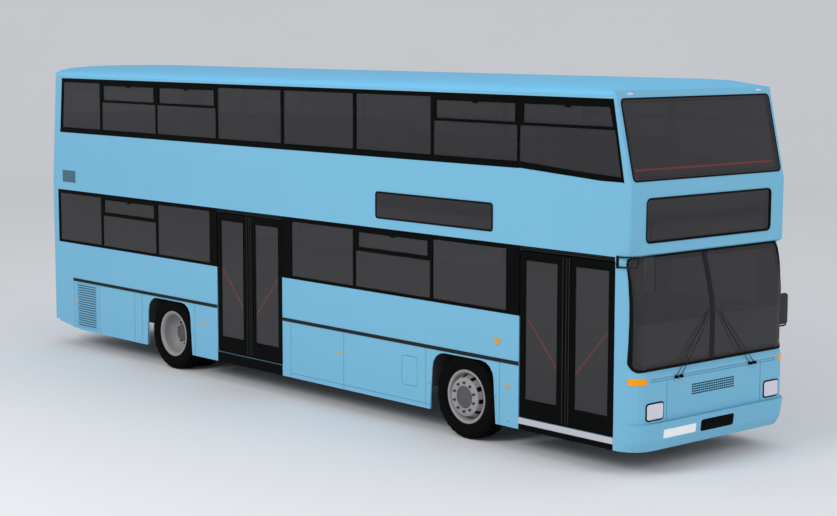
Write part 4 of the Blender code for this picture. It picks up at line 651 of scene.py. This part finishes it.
# doors: red grab rails inside each leaf, meeting seals, header lips, a bright sill strip and kick plates
doors = {  # the doorway's ends, and each leaf's rail from its low end to its high one
    "front_door": {
        "ends": (0.345, 1.723), "rear": (1.166, 0.98, 1.625, 1.49), "front": (0.906, 0.98, 0.446, 1.49),
    },
    "middle_door": {
        "ends": (5.886, 7.27), "rear": (6.705, 0.98, 7.173, 1.49), "front": (6.443, 0.98, 5.979, 1.495),
    },
}
doorParts = {"railX": -1.222, "rail": 0.0075, "seals": {"front": (-0.045, -0.007), "rear": (0.045,)},
             "sealHeights": (0.425, 2.19), "header": (2.228, 2.25), "inset": 0.01}
for door, spec in doors.items():
    start, end = spec["ends"]
    for leaf in ("rear", "front"):
        s0, z0, s1, z1 = spec[leaf]
        a, b = (Vector((doorParts["railX"], s - middle, z)) for s, z in ((s0, z0), (s1, z1)))
        tubes(door + "_" + leaf + "Rail", [[a + (b - a) * i / 6 for i in range(7)]], doorParts["rail"], railRedAndPaintedGlow,
              door + "_" + leaf + "_leaf_body")
    meeting = (start + end) / 2
    for leaf in ("front", "rear"):
        seals = [[(meeting + d, z) for z in doorParts["sealHeights"]] for d in doorParts["seals"][leaf]]
        strips(door + "_" + leaf + "Seal", seals, nearDoor, sealGrey, 0.011, 0.004,
               body=door + "_" + leaf + "_leaf_body")
    lips = [[(start + doorParts["inset"], z), (end - doorParts["inset"], z)] for z in doorParts["header"]]
    strips(door + "Header", lips, near, sealGrey, 0.008, 0.002)
slabs("doorSill", [block(0.348, 1.72, 0.328, 0.394)], -1, sillSilver, 1.2485, 1.2525)
kicks = [block(0.348, 1.72, 0.2655, 0.328), block(5.889, 7.267, 0.2655, 0.394)]
slabs("doorKicks", kicks, -1, trimBlack, 1.2485, 1.2515)
print("doors")

# mirrors: a thin domed head on each side, held by bent tube; points are x, station and height
mirror = {
    "tube": 0.0095, "nearStation": -0.268, "farStation": 0.262,
    "nearShell": (-1.5, -1.362, 1.962, 2.328), "nearFace": (-1.494, -1.368, 1.969, 2.321),
    "farShell": (1.33, 1.496, 1.305, 1.655), "farFace": (1.336, 1.494, 1.318, 1.644),
    "nearFoot": (0.298, 0.332, 2.148, 2.282), "farFoot": (0.31, 0.35, 1.31, 1.44),
    "nearTubes": [
        [(-1.262, 0.305, 2.268), (-1.275, 0.2, 2.274), (-1.31, -0.15, 2.31), (-1.345, -0.255, 2.324),
         (-1.36, -0.27, 2.318), (-1.38, -0.27, 2.295)],
        [(-1.262, 0.305, 2.165), (-1.285, 0.07, 2.178), (-1.293, 0.02, 2.19), (-1.297, 0.0, 2.22),
         (-1.298, -0.005, 2.285)],
        [(-1.352, -0.262, 2.31), (-1.35, -0.264, 2.25), (-1.35, -0.264, 2.05), (-1.352, -0.264, 1.99),
         (-1.37, -0.264, 1.972)],
    ],
    "farTubes": [
        [(1.252, 0.33, 1.42), (1.29, 0.3, 1.42), (1.34, 0.27, 1.42)],
        [(1.252, 0.33, 1.33), (1.3, 0.3, 1.3), (1.36, 0.27, 1.29), (1.44, 0.262, 1.29), (1.475, 0.262, 1.3),
         (1.48, 0.262, 1.33)],
    ],
}
mirrorKinds = (("nearside", "near", near, 0.014), ("offside", "far", far, 0.012))
for label, key, hit, proud in mirrorKinds:
    station = mirror[key + "Station"]
    pads(label + "MirrorShell", [mirror[key + "Shell"]], facing(station), mirrorGrey, 0.03, 0.02)
    # the mirror's face is flat pale grey, a painted reflection
    pads(label + "MirrorFace", [mirror[key + "Face"]], behind(station), paleLensAndPaintedReflection, 0.026, 0.006)
    bent = [[(x, s - middle, z) for x, s, z in path] for path in mirror[key + "Tubes"]]
    tubes(label + "MirrorTubes", bent, mirror["tube"], shellGrey)
    foot = pads(label + "MirrorFoot", [mirror[key + "Foot"]], hit, trimBlack, 0.008, proud)
    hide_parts(label + "_mirror")
print("mirrors")

# seats: a soft cushion and back on a moulded shell each, with a rail along the wall
seat = {
    # behind the seat's front, above the deck, length and height
    "cushion": (0.212, 0.378, 0.415, 0.084), "back": (0.42, 0.72, 0.06, 0.54),
    "pan": (0.215, 0.33, 0.42, 0.02), "shell": (0.462, 0.7, 0.018, 0.56),
    "lean": -0.154, "softEdge": 0.025, "hardEdge": 0.006, "shellMore": 0.01, "rail": 0.022, "railX": 1.165,
    "upperDeck": 2.38, "lowerDeck": 0.56, "rearDeck": 0.95, "fill": 0.8,
}


def softBox(bm, centre, size, lean, radius):
    x, s, z = centre
    where = Matrix.Translation((x, s - middle, z)) @ Matrix.Rotation(lean, 4, "X") @ Matrix.Diagonal((*size, 1))
    made = bmesh.ops.create_cube(bm, size=1, matrix=where)
    edges = list({e for v in made["verts"] for e in v.link_edges})
    bmesh.ops.bevel(bm, geom=edges, offset=radius, segments=3, profile=0.6, affect="EDGES", material=-1)


def seats(name, places, node, rails=()):
    soft, shell = bmesh.new(), bmesh.new()
    parts = ((soft, "cushion", 0, 0, seat["softEdge"]), (soft, "back", 0, seat["lean"], seat["softEdge"]),
             (shell, "pan", seat["shellMore"], 0, seat["hardEdge"]),
             (shell, "shell", seat["shellMore"], seat["lean"], seat["hardEdge"]))
    for x, wide, station, deck in places:
        for bm, part, more, lean, edge in parts:
            behindFront, above, long, tall = seat[part]
            softBox(bm, (x, station + behindFront, deck + above), (wide + more, long, tall), lean, edge)
    cushions = keep(name + "Cushions", soft, seatCloth, angle=60)
    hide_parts(node)
    keep(name + "Shells", shell, greyPlastic)
    for side, s0, s1, z in rails:
        rail = [(side * seat["railX"], s - middle, z) for s in (s0, (s0 + s1) / 2, s1)]
        tubes(name + "Rail", [rail], seat["rail"], darkSteel)


def doubles(side, stations, deck):
    return [(side * x, 0.4, s, deck) for s in stations for x in (0.515, 0.925)]


def bench(station, deck):
    return [((k - 2) * 0.465, 0.45, station, deck) for k in range(5)]


upperDeck, lowerDeck, rearDeck = seat["upperDeck"], seat["lowerDeck"], seat["rearDeck"]
nearRows = [1.1 + 0.75 * i for i in range(13)]
farRows = [1.1 + 0.7 * i for i in range(3)] + [5.6 + 0.75 * i for i in range(7)]
rearRows = (9.46, 10.21)
places = doubles(-1, nearRows, upperDeck) + doubles(1, farRows, upperDeck) + bench(10.66, upperDeck)
seats("upper", places, "upper_seats", [(-1, 1.2, 10.8, 2.68), (1, 1.2, 2.9, 2.68), (1, 5.7, 10.8, 2.68)])
places = doubles(-1, rearRows, rearDeck) + doubles(1, rearRows, rearDeck) + bench(10.75, rearDeck)
seats("lowerRear", places, "lower_rear_seats", [(-1, 9.5, 10.9, 1.25), (1, 9.5, 10.9, 1.25)])
places = doubles(1, (5.1, 5.85, 6.6), lowerDeck)
seats("lowerOffside", places, "lower_offside_seats", [(1, 5.2, 6.8, 0.86)])
seats("driver", [(0.65, 0.45, 1.1, lowerDeck)], "driver_seat")
bm = bmesh.new()
softBox(bm, (0.65, 1.315, 0.72), (0.3, 0.28, 0.31), 0, 0.03)
keep("driverPedestal", bm, greyPlastic)
print("seats")

# floor, light and camera
studio = {
    "turn": 41.6802, "near": -45, "far": 28, "bend": 16, "top": 45, "halfWidth": 80,
    "world": 0xf9fcff, "worldStrength": 0.62,
    "camera": (-15.1134, -17.7738, 4.5320), "cameraTurn": (83.0112, -0.0748, -41.6802),
    "lens": 79.59, "sensor": 36,
}
turn = math.radians(studio["turn"])
forward = Vector((math.sin(turn), math.cos(turn), 0))
sideways = Vector((forward.y, -forward.x, 0))
bend, flatEnd = studio["bend"], studio["far"]
profile = [(studio["near"], 0), (flatEnd, 0)]
for i in range(1, 16):
    rise = math.radians(6 * i)
    profile.append((flatEnd + bend * math.sin(rise), bend - bend * math.cos(rise)))
profile.append((flatEnd + bend, studio["top"]))
bm = bmesh.new()
ends = (-studio["halfWidth"], studio["halfWidth"])
grid(bm, [[forward * d + sideways * w + Vector((0, 0, z)) for w in ends] for d, z in profile])
floorMesh = bpy.data.meshes.new("studioSweep")
bm.to_mesh(floorMesh)
bm.free()
floorMesh.shade_smooth()
# pale seamless paper
floorMesh.materials.append(plain("studioPaper", 0xf0f0f2, 0xf4f4f6, (0.8, 0.9), (0.2, 30), 0.02))
floor = bpy.data.objects.new("studioSweep", floorMesh)
bpy.context.collection.objects.link(floor)

world = bpy.data.worlds.new("studio")
bpy.context.scene.world = world
world.use_nodes = True
world.node_tree.nodes["Background"].inputs["Color"].default_value = linear(studio["world"])
world.node_tree.nodes["Background"].inputs["Strength"].default_value = studio["worldStrength"]


def softbox(name, place, aim, size, power):
    data = bpy.data.lights.new(name, "AREA")
    data.shape = "DISK"
    data.size = size
    data.energy = power
    lamp = bpy.data.objects.new(name, data)
    lamp.location = place
    lamp.rotation_euler = (Vector(aim) - Vector(place)).to_track_quat("-Z", "Y").to_euler()
    bpy.context.collection.objects.link(lamp)


softbox("keyLight", (-20, -1.5, 13), (0, 0, 1.5), 9, 1800)
softbox("frontLight", (2, -20, 11), (0, -4, 1.5), 8, 680)

lens = bpy.data.cameras.new("camera")
lens.sensor_width = studio["sensor"]
lens.lens = studio["lens"]
camera = bpy.data.objects.new("camera", lens)
camera.location = studio["camera"]
camera.rotation_euler = [math.radians(a) for a in studio["cameraTurn"]]
bpy.context.collection.objects.link(camera)
bpy.context.scene.camera = camera
bpy.context.scene.view_settings.view_transform = "Standard"
